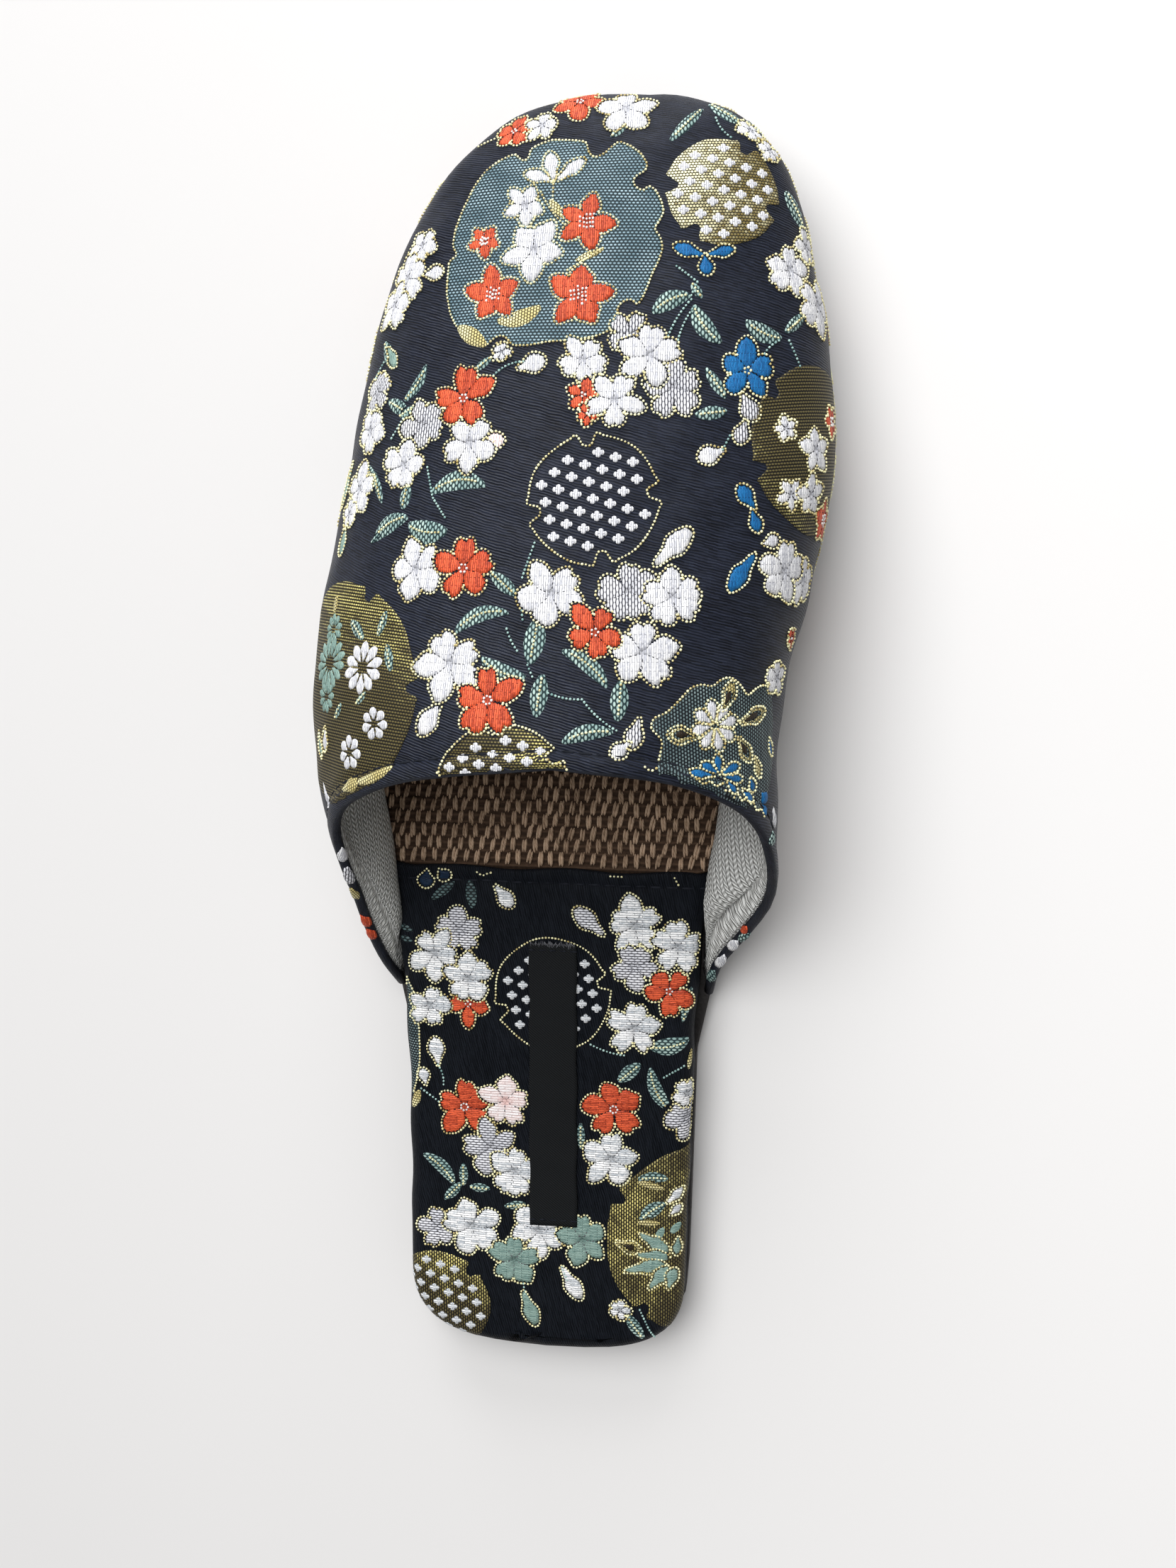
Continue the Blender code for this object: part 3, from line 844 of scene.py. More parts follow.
# Heel cover: brocade drawn over the padded rear of the footbed.
cover = {
    "thick": 1.0,
    "crown": 0.9,
    "crownFrom": (0.0, 22.0),
    "crownTo": (96.0, 105.0),
    "crownDrop": 0.8,
    "stitchIn": 2.6,
    "stitchDip": 0.35,
    "ripple": 0.16,
    "waver": 0.22,  # how far its outline strays from the sole's
    "stitchWide": 0.6,
    "hemPuff": 0.30,
    "hemPuffIn": 1.2,
    "hemPuffWide": 0.9,
    "foldDepth": 0.45,  # a shallow fold along the outer edge
    "foldIn": 6.0,
    "foldWide": 1.1,
    "foldFrom": (42.0, 52.0),
    "foldTo": (76.0, 86.0),
    "columns": 34,
    "rounding": 6,
    "skirtRows": 5,
}


def coverLift(across, along):
    square = max(sole["heelRound"], along)
    half, centre = planHalfWidth(square), planCentre(square)
    middle = max(0.0, 1 - ((across - centre) / half) ** 2)
    ends = ramp(along, *cover["crownFrom"]) * (1 - cover["crownDrop"] * ramp(along, *cover["crownTo"]))
    lift = cover["crown"] * middle * ends
    fromFront = sole["coverFront"] - along
    lift -= cover["stitchDip"] * exp(-(((fromFront - cover["stitchIn"]) / cover["stitchWide"]) ** 2))
    lift += cover["hemPuff"] * exp(-(((fromFront - cover["hemPuffIn"]) / cover["hemPuffWide"]) ** 2))
    lift += cover["ripple"] * sin(across * 0.33 + along * 0.12) * sin(along * 0.21 + 0.7)
    fold = exp(-(((across + half - centre - cover["foldIn"]) / cover["foldWide"]) ** 2))
    fold *= ramp(along, *cover["foldFrom"]) * (1 - ramp(along, *cover["foldTo"]))
    return lift - cover["foldDepth"] * fold


def coverSheet():
    sheet = {"points": [], "weave": [], "faces": []}

    def add(across, along, height, u, v):
        sheet["points"].append(place(across, along, height))
        sheet["weave"].append((u, v))
        return len(sheet["points"]) - 1

    heelAngles = evenly(radians(5), pi / 2, 15)
    hemRows = [99.5, 100.8, 101.8, 102.6, 103.2, 103.8, 104.6, 105.2, sole["coverFront"]]
    middle = evenly(sole["heelRound"], 98.0, 36)[1:] + hemRows
    radius = sole["coverRound"]
    rims = [(0.0, h) for h in evenly(sole["footbedBottom"], sole["coverTop"] - radius, cover["skirtRows"])]
    for angle in evenly(0.0, pi / 2, cover["rounding"] + 1)[1:]:
        rims.append((-radius * (1 - cos(angle)), sole["coverTop"] - radius * (1 - sin(angle))))
    rings = []
    for k, (grow, height) in enumerate(rims):
        reach = sole["heelRound"] + grow
        drop = sole["coverTop"] - height
        sides = []
        for side in (lateral, medial):
            bulge = [reach + cover["waver"] * sin(9 * a + side) for a in heelAngles]
            bend = 2 / sole["heelSquareness"]
            heel = [sole["heelRound"] - out * cos(a) ** bend for a, out in zip(heelAngles, bulge)]
            row = []
            for y in heel + middle:
                x = planAcross(y, side, grow + cover["waver"] * sin(y * 0.31 + side) * ramp(y, 25.0, 35.0))
                row.append(add(x, y, height, x + side * drop * (y > 12), y - drop * (y <= 12)))
            sides.append(row)
        rings.append(sides)
    loops = [left[::-1] + right for left, right in rings]
    for lower, higher in zip(loops, loops[1:]):
        for i in range(len(lower) - 1):
            sheet["faces"].append((lower[i], lower[i + 1], higher[i + 1], higher[i]))
    left, right = rings[-1]
    rows = []
    count = cover["columns"]
    for a, b in zip(left, right):
        row = [a]
        start, end = sheet["weave"][a], sheet["weave"][b]
        for i in range(1, count):
            x, y = start[0] + (end[0] - start[0]) * i / count, start[1]
            lift = coverLift(x, y) * min(1.0, 6.0 * min(i, count - i) / count)
            stray = 1.5 * cover["waver"] * sin(x * 0.27 + 0.6) * ramp(y, 99.0, 105.0)
            row.append(add(x, y + stray, sole["coverTop"] + lift, x, y))
        rows.append(row + [b])
    for near, far in zip(rows, rows[1:]):
        for i in range(count):
            sheet["faces"].append((near[i], near[i + 1], far[i + 1], far[i]))
    frontLeft = [ring[0][-1] for ring in rings]
    frontRight = [ring[1][-1] for ring in rings]
    front = frontLeft + rows[-1][1:-1] + frontRight[::-1]
    behindLeft = [ring[0][-2] for ring in rings]
    behindRight = [ring[1][-2] for ring in rings]
    behind = behindLeft + rows[-2][1:-1] + behindRight[::-1]
    sheet["throat"] = list(zip(front, behind))
    sheet["feather"] = loops[0][-2:0:-1]
    sheet["normals"] = pointNormals(sheet["points"], sheet["faces"])
    return sheet


coverCloth = coverSheet()
coverCount = len(coverCloth["points"])
coverInner = [cover["thick"]] * coverCount
heelCover = closedShell("heelCover", coverCloth, [0.0] * coverCount, coverInner, "heelSatinPaintedShade", 0.9)
print("heel cover made:", coverCount, "points")


# Brocade figures: laid on the cloth where the photo shows them, as low raised patches and couched outlines.
figure = {
    "stride": 2.2,  # one step of a walk over the cloth
    "slipShare": 0.2,  # a step that slips further sideways has left the cloth
    "slip": 0.02,
    "facesToe": 0.35,  # on cloth that nearly faces the toe or heel, up is the height
    "hideDepth": 3.0,  # a figure hides what lies this near to its plane
    "hideReach": 1.1,
    "nearShare": 1.25,  # figures this near are tested for hiding one another
    "nearRoom": 2.0,
    "leafGrow": 1.2,  # a leaf is drawn a little wider than charted
    "dropGrow": 0.85,  # a drop is charted with its outline
    "hemGrow": 1.4,
    "hemLongest": 12.0,
    "stemSteps": 12,
    "petalRise": 0.25,
    "leafRise": 0.20,
    "leafRows": 16,
    "leafHalf": 3,  # columns on either side of the rib
    "ribFrom": 0.8,
    "groundRise": 0.08,
    "groundStep": 0.7,
    "spokeStep": 0.6,
    "traceStep": 0.5,
    "tuck": 0.12,
    "outlineOut": 0.42,
    "outlineStep": 0.3,
    "beadPitch": 0.68,
    "beadLength": 0.56,
    "beadWidth": 0.50,
    "beadHeight": 0.46,
    "slitShare": 0.5,
    "beadLift": 0.17,
    "dotPitch": 3.25,
    "dotRowShare": 0.866,  # rows of dots are this much nearer than dots in a row
    "dotRadius": 1.02,
    "dotLean": 45,
    "dotRise": 0.20,
    "dotClear": 1.5,  # between a dot's middle and the ring
    "fray": 0.17,  # how far single threads stand past a petal's edge
    "threadStep": 0.38,
    "steepest": {False: -0.5, True: 0.12},  # a figure on the heel stops where its cover turns down
    "besideLine": 1.03,  # how far past a figure's edge it hides an outline below it
    "besideDot": 1.05,
    # painted light, lifting every ring's ground a little
    "ringPaintedLight": 0.10,
    "ringPaintedShade": {"goldGround": 0.26, "bronzeGround": 0.36},  # painted shade: how much darker the side turned from the light is painted
    "shareSteps": 60,
    "middlePaintedShade": 0.42,  # painted shade: how dark a flower's middle is painted, and how far out
    "middleTo": (0.05, 0.42),
}
spotOn = namedtuple("spotOn", "point normal right up mmPerPixel")
chance = Random(11)


class Cloth:
    def __init__(self, sheet, turned):
        self.tree = BVHTree.FromPolygons(sheet["points"], sheet["faces"])
        self.turned = turned  # threads run across on the heel, along on the vamp

    def spotFrom(self, point, normal):
        up = Vector((0, 1, 0)) - normal * normal.y
        if up.length < figure["facesToe"]:
            up = Vector((0, 0, 1)) - normal * normal.z
        up.normalize()
        height = point.z / mm - photo["insoleTop"]
        scale = photo["mmPerPixel"] * (1 - height / photo["above"])
        return spotOn(point, normal, up.cross(normal), up, scale)

    def cast(self, photoX, photoY):
        point, normal, _, _ = self.tree.ray_cast(photoEye, photoRay(photoX, photoY))
        return self.spotFrom(point, normal) if point else None

    def nearest(self, point):
        found, normal, _, _ = self.tree.find_nearest(point)
        return self.spotFrom(found, normal)

    def walk(self, spot, a, b):  # steps over the cloth from the spot: a to its right, b up, in millimetres
        length = hypot(a, b)
        point, normal = spot.point, spot.normal
        if length < 1e-6:
            return point, normal, True
        heading = (spot.right * a + spot.up * b) / length
        steps = ceil(length / figure["stride"])
        stride = length / steps * mm
        inside = False
        for _ in range(steps):
            heading = (heading - normal * heading.dot(normal)).normalized()
            aim = point + heading * stride
            found, facing, _, _ = self.tree.find_nearest(aim)
            slip = found - aim
            room = stride * figure["slipShare"] + figure["slip"] * mm
            inside = (slip - facing * slip.dot(facing)).length < room
            point, normal = (found, facing) if inside else (aim, normal)
        return point, normal, inside

    def lay(self, a, b):  # weave coordinates, along the floats first
        return (a, b) if self.turned else (b, a)


vampCloth = Cloth(upperCloth, False)
heelCloth = Cloth(coverCloth, True)


class Patches:
    def __init__(self):
        # deep holds each point's painted shade
        self.points, self.weave, self.deep, self.faces = [], [], [], []

    def add(self, point, weave, deep=0.0):
        self.points.append(point)
        self.weave.append(weave)
        self.deep.append(deep)
        return len(self.points) - 1

    def trim(self):  # drops the points no face uses
        used = sorted({point for face in self.faces for point in face})
        moved = {old: new for new, old in enumerate(used)}
        rows = (self.points, self.weave, self.deep)
        self.points, self.weave, self.deep = ([row[old] for old in used] for row in rows)
        self.faces = [tuple(moved[point] for point in face) for face in self.faces]


class Figure:
    def __init__(self, cloth, spot, reach, covers, order=0):
        self.cloth, self.spot, self.reach, self.order = cloth, spot, reach, order
        self.covers = covers  # None hides nothing
        self.above = None

    def holds(self, point, margin):
        away = point - self.spot.point
        deep = abs(away.dot(self.spot.normal)) > figure["hideDepth"] * mm
        if deep or away.length > self.reach * mm * figure["hideReach"]:
            return False
        return self.covers(away.dot(self.spot.right) / mm, away.dot(self.spot.up) / mm, margin)


patches, outlines, figures, jobs = {}, {}, [], []


def addFigure(cloth, spot, reach, covers, draw, *values):  # drawn once all the figures are known
    figures.append(Figure(cloth, spot, reach, covers, len(figures)))
    jobs.append((draw, figures[-1], values))


def figuresAbove(item):  # later figures that are near enough to hide a part of this one
    if item.above is None:
        item.above = []
        for other in figures[item.order + 1 :]:
            room = (item.reach + other.reach) * figure["nearShare"] + figure["nearRoom"]
            if other.covers and (other.spot.point - item.spot.point).length < room * mm:
                item.above.append(other)
    return item.above


def covered(item, point, margin=0.96):
    return any(other.holds(point, margin) for other in figuresAbove(item))


def polarCover(edge, centreA=0.0, centreB=0.0):
    def covers(a, b, margin):
        return hypot(a - centreA, b - centreB) < edge(atan2(b - centreB, a - centreA)) * margin

    return covers


# deep gives each point its painted shade
def polarPatch(item, thread, edge, dome, spokes, rings, centre=(0.0, 0.0), hide=True, fray=0.0, deep=None):
    patch = patches.setdefault((thread, item.cloth.turned), Patches())

    def add(radius, angle, height):
        a, b = centre[0] + radius * cos(angle), centre[1] + radius * sin(angle)
        point, normal, inside = item.cloth.walk(item.spot, a, b)
        steep = normal.z < figure["steepest"][item.cloth.turned]
        if not inside or steep or (hide and covered(item, point)):
            return None
        return patch.add(point + normal * height * mm, item.cloth.lay(a, b), deep(a, b) if deep else 0.0)

    rows = [[add(0.0, 0.0, dome(0.0, 0.0))] * spokes]
    for step in range(1, rings + 2):  # the last row drops from the edge into the cloth
        share = min(1.0, (step / rings) ** 0.85)
        row = []
        for k in range(spokes):
            angle = 2 * pi * k / spokes
            jag = fray * (1 if k % 2 else -1) * (step >= rings)
            height = dome(share, angle) if step <= rings else -figure["tuck"]
            row.append(add(edge(angle) * share + jag, angle, height))
        rows.append(row)
    for inner, outer in zip(rows, rows[1:]):
        for k in range(spokes):
            n = (k + 1) % spokes
            face = (inner[k], outer[k], outer[n], inner[n])
            face = face[:3] if inner is rows[0] else face
            if None not in face:
                patch.faces.append(face)
    base = add(0.0, 0.0, -3 * figure["tuck"])
    if base is not None and None not in rows[-1]:  # close the patch underneath, inside the cloth
        patch.faces += [(rows[-1][(k + 1) % spokes], rows[-1][k], base) for k in range(spokes)]


def keepRuns(thread, cloth, marks, lift):  # marks: point, normal or None where the line is hidden
    run = []
    for spot in [*marks, None]:
        if spot:
            run.append((spot[0] + spot[1] * lift * mm, spot[1]))
        elif run:
            if len(run) > 2:
                outlines.setdefault((thread, cloth.turned), []).append(run)
            run = []


def outlineLoop(item, thread, edge, centre=(0.0, 0.0), skip=None):
    count = max(14, int(2 * pi * edge(pi / 2) / figure["outlineStep"]))
    marks = []
    for k in range(count + 1):
        angle = 2 * pi * k / count
        radius = edge(angle) + figure["outlineOut"]
        a, b = centre[0] + radius * cos(angle), centre[1] + radius * sin(angle)
        point, normal, inside = item.cloth.walk(item.spot, a, b)
        hidden = not inside or (skip and skip(a, b)) or covered(item, point, figure["besideLine"])
        marks.append(None if hidden else (point, normal))
    keepRuns(thread, item.cloth, marks, figure["beadLift"])


def drawStem(item, thread, spots, curl):
    # A couched line from spot to spot, bowed sideways by curl as a share of its length.
    marks = []
    for first, last in zip(spots, spots[1:]):
        side = (last.point - first.point).cross(first.normal)
        for k in range(figure["stemSteps"] + 1):
            t = k / figure["stemSteps"]
            point = first.point.lerp(last.point, t) + side * curl * 4 * t * (1 - t)
            near, normal, _, _ = item.cloth.tree.find_nearest(point)
            marks.append(None if covered(item, near, figure["besideLine"]) else (near, normal))
    keepRuns(thread, item.cloth, marks, figure["beadLift"])


petalTip = namedtuple("petalTip", "out spread")
petalTips = {
    "star": petalTip(0.40, 0.38),
    "point": petalTip(0.24, 0.30),
    "notch": petalTip(-0.34, 0.22),
    "round": petalTip(0.0, 1.0),
}


def petalEdge(length, base, wide, heading, tip):  # an obovate petal seen from its own middle
    half = (length - base) / 2
    sway = chance.uniform(0, 2 * pi)

    def edge(angle):
        off = (angle - heading + pi) % (2 * pi) - pi  # 0 towards the tip
        radius = 1 / hypot(cos(off) / half, sin(off) / (wide * (0.88 + 0.2 * cos(off))))
        radius *= 1 + 0.05 * sin(3 * off + sway) + 0.03 * sin(5 * off - sway)
        return radius + petalTips[tip].out * half * exp(-((off / petalTips[tip].spread) ** 2))

    return edge


# Each row is read from the photo: a figure's centre and width in its pixels, and the turn in degrees.
bloom = namedtuple("bloom", "thread photoX photoY wide turn")
vampBlossoms = (
    bloom("red", 501, 777, 44, 90), bloom("white", 529, 772, 34, 20), bloom("red", 568, 750, 54, 60),
    bloom("white", 614, 758, 60, 90), bloom("white", 738, 783, 30, 40), bloom("white", 757, 803, 28, 0),
    bloom("white", 404, 888, 40, 60), bloom("white", 388, 921, 56, 100),
    bloom("white", 374, 948, 50, 20), bloom("white", 779, 919, 54, 80), bloom("white", 794, 897, 40, 20),
    bloom("white", 807, 955, 58, 60), bloom("blue", 738, 1017, 58, 80),
    bloom("shaded", 618, 979, 46, 60), bloom("white", 570, 1005, 54, 200),
    bloom("shaded", 664, 1034, 64, 20), bloom("white", 639, 1001, 66, 80), bloom("red", 571, 1040, 36, 150),
    bloom("red", 576, 1060, 24, 200), bloom("white", 603, 1046, 58, 60), bloom("white", 486, 996, 20, 0),
    bloom("shaded", 402, 1070, 54, 120), bloom("white", 451, 1089, 62, 270), bloom("red", 446, 1043, 68, 100),
    bloom("white", 381, 1112, 56, 85), bloom("shaded", 355, 1036, 46, 100), bloom("white", 346, 1076, 48, 60),
    bloom("white", 333, 1137, 52, 90), bloom("white", 322, 1163, 34, 30), bloom("white", 392, 1221, 64, 110),
    bloom("red", 444, 1219, 72, 95), bloom("shaded", 618, 1242, 66, 90), bloom("white", 664, 1247, 66, 100),
    bloom("white", 537, 1245, 72, 265), bloom("white", 633, 1305, 74, 85), bloom("red", 583, 1284, 62, 60),
    bloom("white", 428, 1320, 76, 110), bloom("red", 469, 1358, 76, 100), bloom("white", 796, 1228, 50, 90),
    bloom("white", 811, 1211, 36, 60), bloom("white", 777, 1220, 62, 80), bloom("white", 771, 1328, 36, 90),
    bloom("red", 802, 1256, 30, 90), bloom("red", 785, 1287, 20, 60),
)
vampStars = (
    bloom("white", 511, 850, 48, 60), bloom("white", 520, 894, 66, 60), bloom("red", 575, 867, 60, 0),
    bloom("red", 478, 938, 62, 100), bloom("red", 566, 940, 72, 10), bloom("red", 469, 885, 36, 60),
    bloom("white", 777, 1075, 28, 100), bloom("white", 807, 1096, 50, 90), bloom("white", 783, 1141, 34, 60),
    bloom("white", 803, 1141, 44, 90), bloom("red", 822, 1068, 34, 40), bloom("red", 815, 1167, 46, 90),
)
heelBlossoms = (
    bloom("shaded", 436, 1608, 54, 90), bloom("white", 408, 1635, 58, 60),
    bloom("red", 445, 1690, 46, 270), bloom("white", 445, 1662, 56, 95),
    bloom("white", 402, 1694, 48, 80), bloom("white", 626, 1596, 60, 100),
    bloom("shaded", 626, 1640, 52, 270), bloom("white", 672, 1617, 58, 90),
    bloom("red", 663, 1665, 54, 120), bloom("white", 626, 1708, 60, 90), bloom("red", 440, 1806, 66, 95),
    bloom("shaded", 469, 1851, 60, 30), bloom("pink", 485, 1797, 56, 90),
    bloom("white", 494, 1876, 60, 80), bloom("shaded", 408, 1946, 46, 100),
    bloom("white", 447, 1942, 64, 100), bloom("white", 522, 1942, 64, 270),
    bloom("teal", 494, 1978, 58, 80), bloom("teal", 570, 1949, 56, 100), bloom("white", 611, 2026, 24, 0),
    bloom("white", 601, 1855, 60, 90), bloom("red", 604, 1799, 66, 100),
    bloom("shaded", 682, 1803, 48, 120), bloom("white", 682, 1776, 34, 60),
)
daisy = namedtuple("daisy", "thread photoX photoY wide petals turn outlined", defaults=(False,))
vampDaisies = (
    daisy("white", 333, 1326, 58, 10, 20), daisy("white", 345, 1386, 36, 7, 50),
    daisy("white", 317, 1418, 38, 7, 0), daisy("white", 709, 1379, 52, 8, 10, True),
    daisy("teal", 297, 1322, 60, 13, 0), daisy("teal", 302, 1285, 34, 9, 20),
    daisy("teal", 293, 1358, 36, 9, 10),
)
drop = namedtuple("drop", "thread tipX tipY endX endY wide")
vampDrops = (
    drop("blue", 694, 903, 664, 893, 15), drop("blue", 694, 903, 697, 921, 16),
    drop("blue", 697, 902, 723, 897, 12), drop("white", 716, 1096, 690, 1105, 21),
    drop("white", 503, 1013, 531, 1004, 23), drop("pink", 462, 1088, 488, 1086, 20),
    drop("white", 406, 917, 425, 914, 17), drop("white", 645, 1214, 682, 1177, 25),
    drop("blue", 747, 1155, 731, 1133, 19), drop("blue", 744, 1157, 751, 1178, 15),
    drop("blue", 748, 1201, 722, 1239, 21), drop("white", 419, 1360, 395, 1396, 25),
    drop("shaded", 733, 1040, 746, 1066, 24), drop("shaded", 737, 1067, 730, 1089, 18),
    drop("white", 756, 1191, 771, 1186, 15), drop("white", 542, 826, 512, 818, 15),
    drop("white", 541, 826, 537, 799, 17), drop("white", 544, 826, 572, 806, 15),
    drop("gilt", 690, 1392, 661, 1389, 19), drop("gilt", 717, 1362, 727, 1334, 16),
    drop("gilt", 734, 1376, 759, 1362, 17), drop("gilt", 733, 1391, 745, 1415, 15),
    drop("gilt", 750, 1411, 755, 1431, 10), drop("blue", 712, 1429, 696, 1420, 11),
    drop("blue", 714, 1428, 711, 1411, 10), drop("blue", 717, 1429, 733, 1420, 11),
    drop("blue", 718, 1432, 737, 1435, 9), drop("blue", 709, 1431, 683, 1429, 11),
    drop("blue", 746, 1433, 749, 1446, 9), drop("blue", 764, 1391, 767, 1408, 9),
    drop("teal", 327, 1109, 314, 1156, 15), drop("teal", 318, 1172, 311, 1206, 16),
    drop("teal", 366, 990, 374, 1010, 14), drop("teal", 284, 1396, 287, 1424, 9),
    drop("blue", 722, 1437, 731, 1448, 10), drop("blue", 737, 1446, 748, 1456, 10),
    drop("white", 291, 1392, 290, 1416, 13), drop("shaded", 630, 1374, 621, 1405, 20),
    drop("white", 620, 1399, 602, 1415, 18),
)
heelDrops = (
    drop("shaded", 593, 1607, 562, 1580, 23), drop("white", 411, 1760, 408, 1730, 21),
    drop("white", 547, 1981, 568, 2017, 21), drop("teal", 504, 2013, 518, 2051, 20),
    drop("white", 476, 1558, 494, 1580, 19), drop("inkBlue", 401, 1544, 399, 1562, 19),
    drop("inkBlue", 415, 1543, 424, 1552, 17), drop("white", 662, 1900, 680, 1881, 12),
    drop("white", 665, 1913, 677, 1901, 10), drop("gilt", 606, 1948, 634, 1957, 15),
    drop("white", 397, 1783, 393, 1766, 14), drop("teal", 632, 1937, 664, 1955, 17),
    drop("teal", 629, 1961, 664, 1962, 16), drop("teal", 616, 1981, 660, 1969, 17),
    drop("teal", 643, 1999, 664, 1973, 17), drop("teal", 664, 1997, 671, 1974, 16),
    drop("teal", 674, 1938, 673, 1957, 12),
)
heelCores = (drop("umber", 614, 1951, 627, 1955, 8),)
hemDrops = (  # scraps of the pattern that show on the folded edge
    drop("teal", 306, 1499, 307, 1520, 18), drop("white", 306, 1522, 309, 1538, 16),
    drop("shaded", 311, 1542, 316, 1563, 15), drop("gilt", 315, 1566, 320, 1580, 13),
    drop("white", 319, 1581, 323, 1592, 12), drop("red", 326, 1596, 336, 1609, 15),
    drop("red", 333, 1611, 341, 1623, 14), drop("white", 287, 1451, 293, 1487, 10),
    drop("gilt", 307, 1461, 326, 1449, 14), drop("leaf", 769, 1487, 770, 1503, 16),
    drop("white", 766, 1531, 778, 1535, 11), drop("leaf", 763, 1567, 752, 1595, 20),
    drop("red", 745, 1591, 738, 1597, 9), drop("leaf", 748, 1597, 738, 1608, 13),
    drop("white", 735, 1606, 726, 1617, 14), drop("white", 722, 1622, 714, 1637, 12),
    drop("leaf", 711, 1639, 703, 1651, 13), drop("blue", 757, 1448, 763, 1457, 10),
    drop("blue", 758, 1460, 763, 1470, 9), drop("white", 769, 1462, 772, 1485, 8),
    drop("blue", 738, 1449, 748, 1455, 8),
)
leaf = namedtuple("leaf", "thread baseX baseY tipX tipY wide curl", defaults=(0,))
vampLeaves = (
    leaf("gilt", 480, 965, 529, 950, 20, 0.1), leaf("gilt", 440, 969, 471, 990, 18),
    leaf("leaf", 692, 760, 658, 791, 12), leaf("leaf", 696, 756, 733, 777, 19, 0.1),
    leaf("leaf", 599, 785, 614, 774, 9), leaf("leaf", 681, 929, 692, 945, 9),
    leaf("leaf", 681, 941, 641, 959, 19, 0.1), leaf("leaf", 683, 950, 712, 990, 19, 0.1),
    leaf("leaf", 773, 841, 792, 881, 20), leaf("leaf", 773, 986, 735, 967, 19, -0.1),
    leaf("leaf", 775, 980, 796, 961, 12), leaf("leaf", 717, 1045, 696, 1013, 12),
    leaf("leaf", 719, 1057, 685, 1061, 14), leaf("leaf", 476, 1001, 457, 1015, 9),
    leaf("leaf", 363, 984, 369, 1011, 15), leaf("leaf", 381, 1047, 407, 1007, 13, 0.1),
    leaf("leaf", 386, 1057, 365, 1045, 15), leaf("leaf", 329, 1110, 312, 1126, 12),
    leaf("leaf", 409, 1141, 470, 1133, 21, -0.15), leaf("leaf", 358, 1145, 342, 1110, 11),
    leaf("leaf", 386, 1131, 379, 1158, 15), leaf("leaf", 384, 1173, 428, 1180, 25, 0.1),
    leaf("leaf", 386, 1165, 346, 1192, 20, 0.1), leaf("leaf", 472, 1222, 501, 1247, 15),
    leaf("leaf", 493, 1265, 432, 1289, 17, 0.15), leaf("leaf", 524, 1268, 514, 1320, 23),
    leaf("leaf", 461, 1312, 511, 1333, 19, 0.1), leaf("leaf", 528, 1328, 520, 1376, 19),
    leaf("leaf", 597, 1343, 547, 1303, 17, 0.1), leaf("leaf", 611, 1333, 607, 1378, 19),
    leaf("leaf", 604, 1389, 547, 1402, 17, 0.1), leaf("leaf", 350, 1293, 361, 1264, 11),
    leaf("leaf", 335, 1296, 321, 1275, 15), leaf("leaf", 357, 1306, 366, 1328, 11),
    leaf("leaf", 302, 1382, 309, 1364, 9), leaf("leaf", 325, 1366, 337, 1352, 9),
    leaf("leaf", 360, 1299, 364, 1330, 13), leaf("gilt", 562, 906, 593, 894, 9),
    leaf("gilt", 536, 844, 553, 864, 10), leaf("gilt", 322, 1450, 366, 1430, 14, 0.1),
    leaf("gilt", 303, 1270, 307, 1248, 10), leaf("leaf", 344, 1194, 356, 1181, 5),
    leaf("leaf", 377, 1062, 394, 1051, 9), leaf("leaf", 350, 1118, 357, 1152, 9),
)
heelLeaves = (
    leaf("duskLeaf", 432, 1555, 405, 1576, 10), leaf("duskLeaf", 448, 1552, 451, 1585, 12),
    leaf("duskLeaf", 383, 1562, 366, 1574, 9), leaf("duskLeaf", 369, 1588, 387, 1599, 8),
    leaf("duskLeaf", 370, 1603, 385, 1612, 7), leaf("duskLeaf", 371, 1617, 384, 1623, 7),
    leaf("teal", 666, 1934, 677, 1920, 10), leaf("teal", 650, 1943, 659, 1928, 9),
    leaf("leaf", 640, 1727, 685, 1714, 19, 0.1), leaf("leaf", 643, 1749, 667, 1799, 15, 0.1),
    leaf("leaf", 608, 1768, 633, 1746, 15), leaf("leaf", 429, 1897, 392, 1862, 15, 0.1),
    leaf("leaf", 438, 1897, 438, 1870, 10), leaf("leaf", 436, 1893, 416, 1914, 11),
    leaf("leaf", 444, 1897, 468, 1898, 10), leaf("leaf", 508, 1912, 483, 1917, 9),
    leaf("leaf", 617, 2029, 638, 2057, 13), leaf("leaf", 568, 1846, 568, 1816, 9),
    leaf("leaf", 664, 1873, 629, 1876, 14, 0.05), leaf("leaf", 661, 1900, 632, 1923, 17, 0.05),
    leaf("gilt", 633, 1936, 650, 1948, 10), leaf("gilt", 629, 1879, 660, 1885, 8),
    leaf("gilt", 629, 1925, 655, 1924, 8), leaf("gilt", 390, 1790, 382, 1810, 11),
    leaf("leaf", 677, 1699, 687, 1658, 10), leaf("gilt", 684, 1750, 687, 1726, 7),
)
stem = namedtuple("stem", "thread marks curl", defaults=(0,))
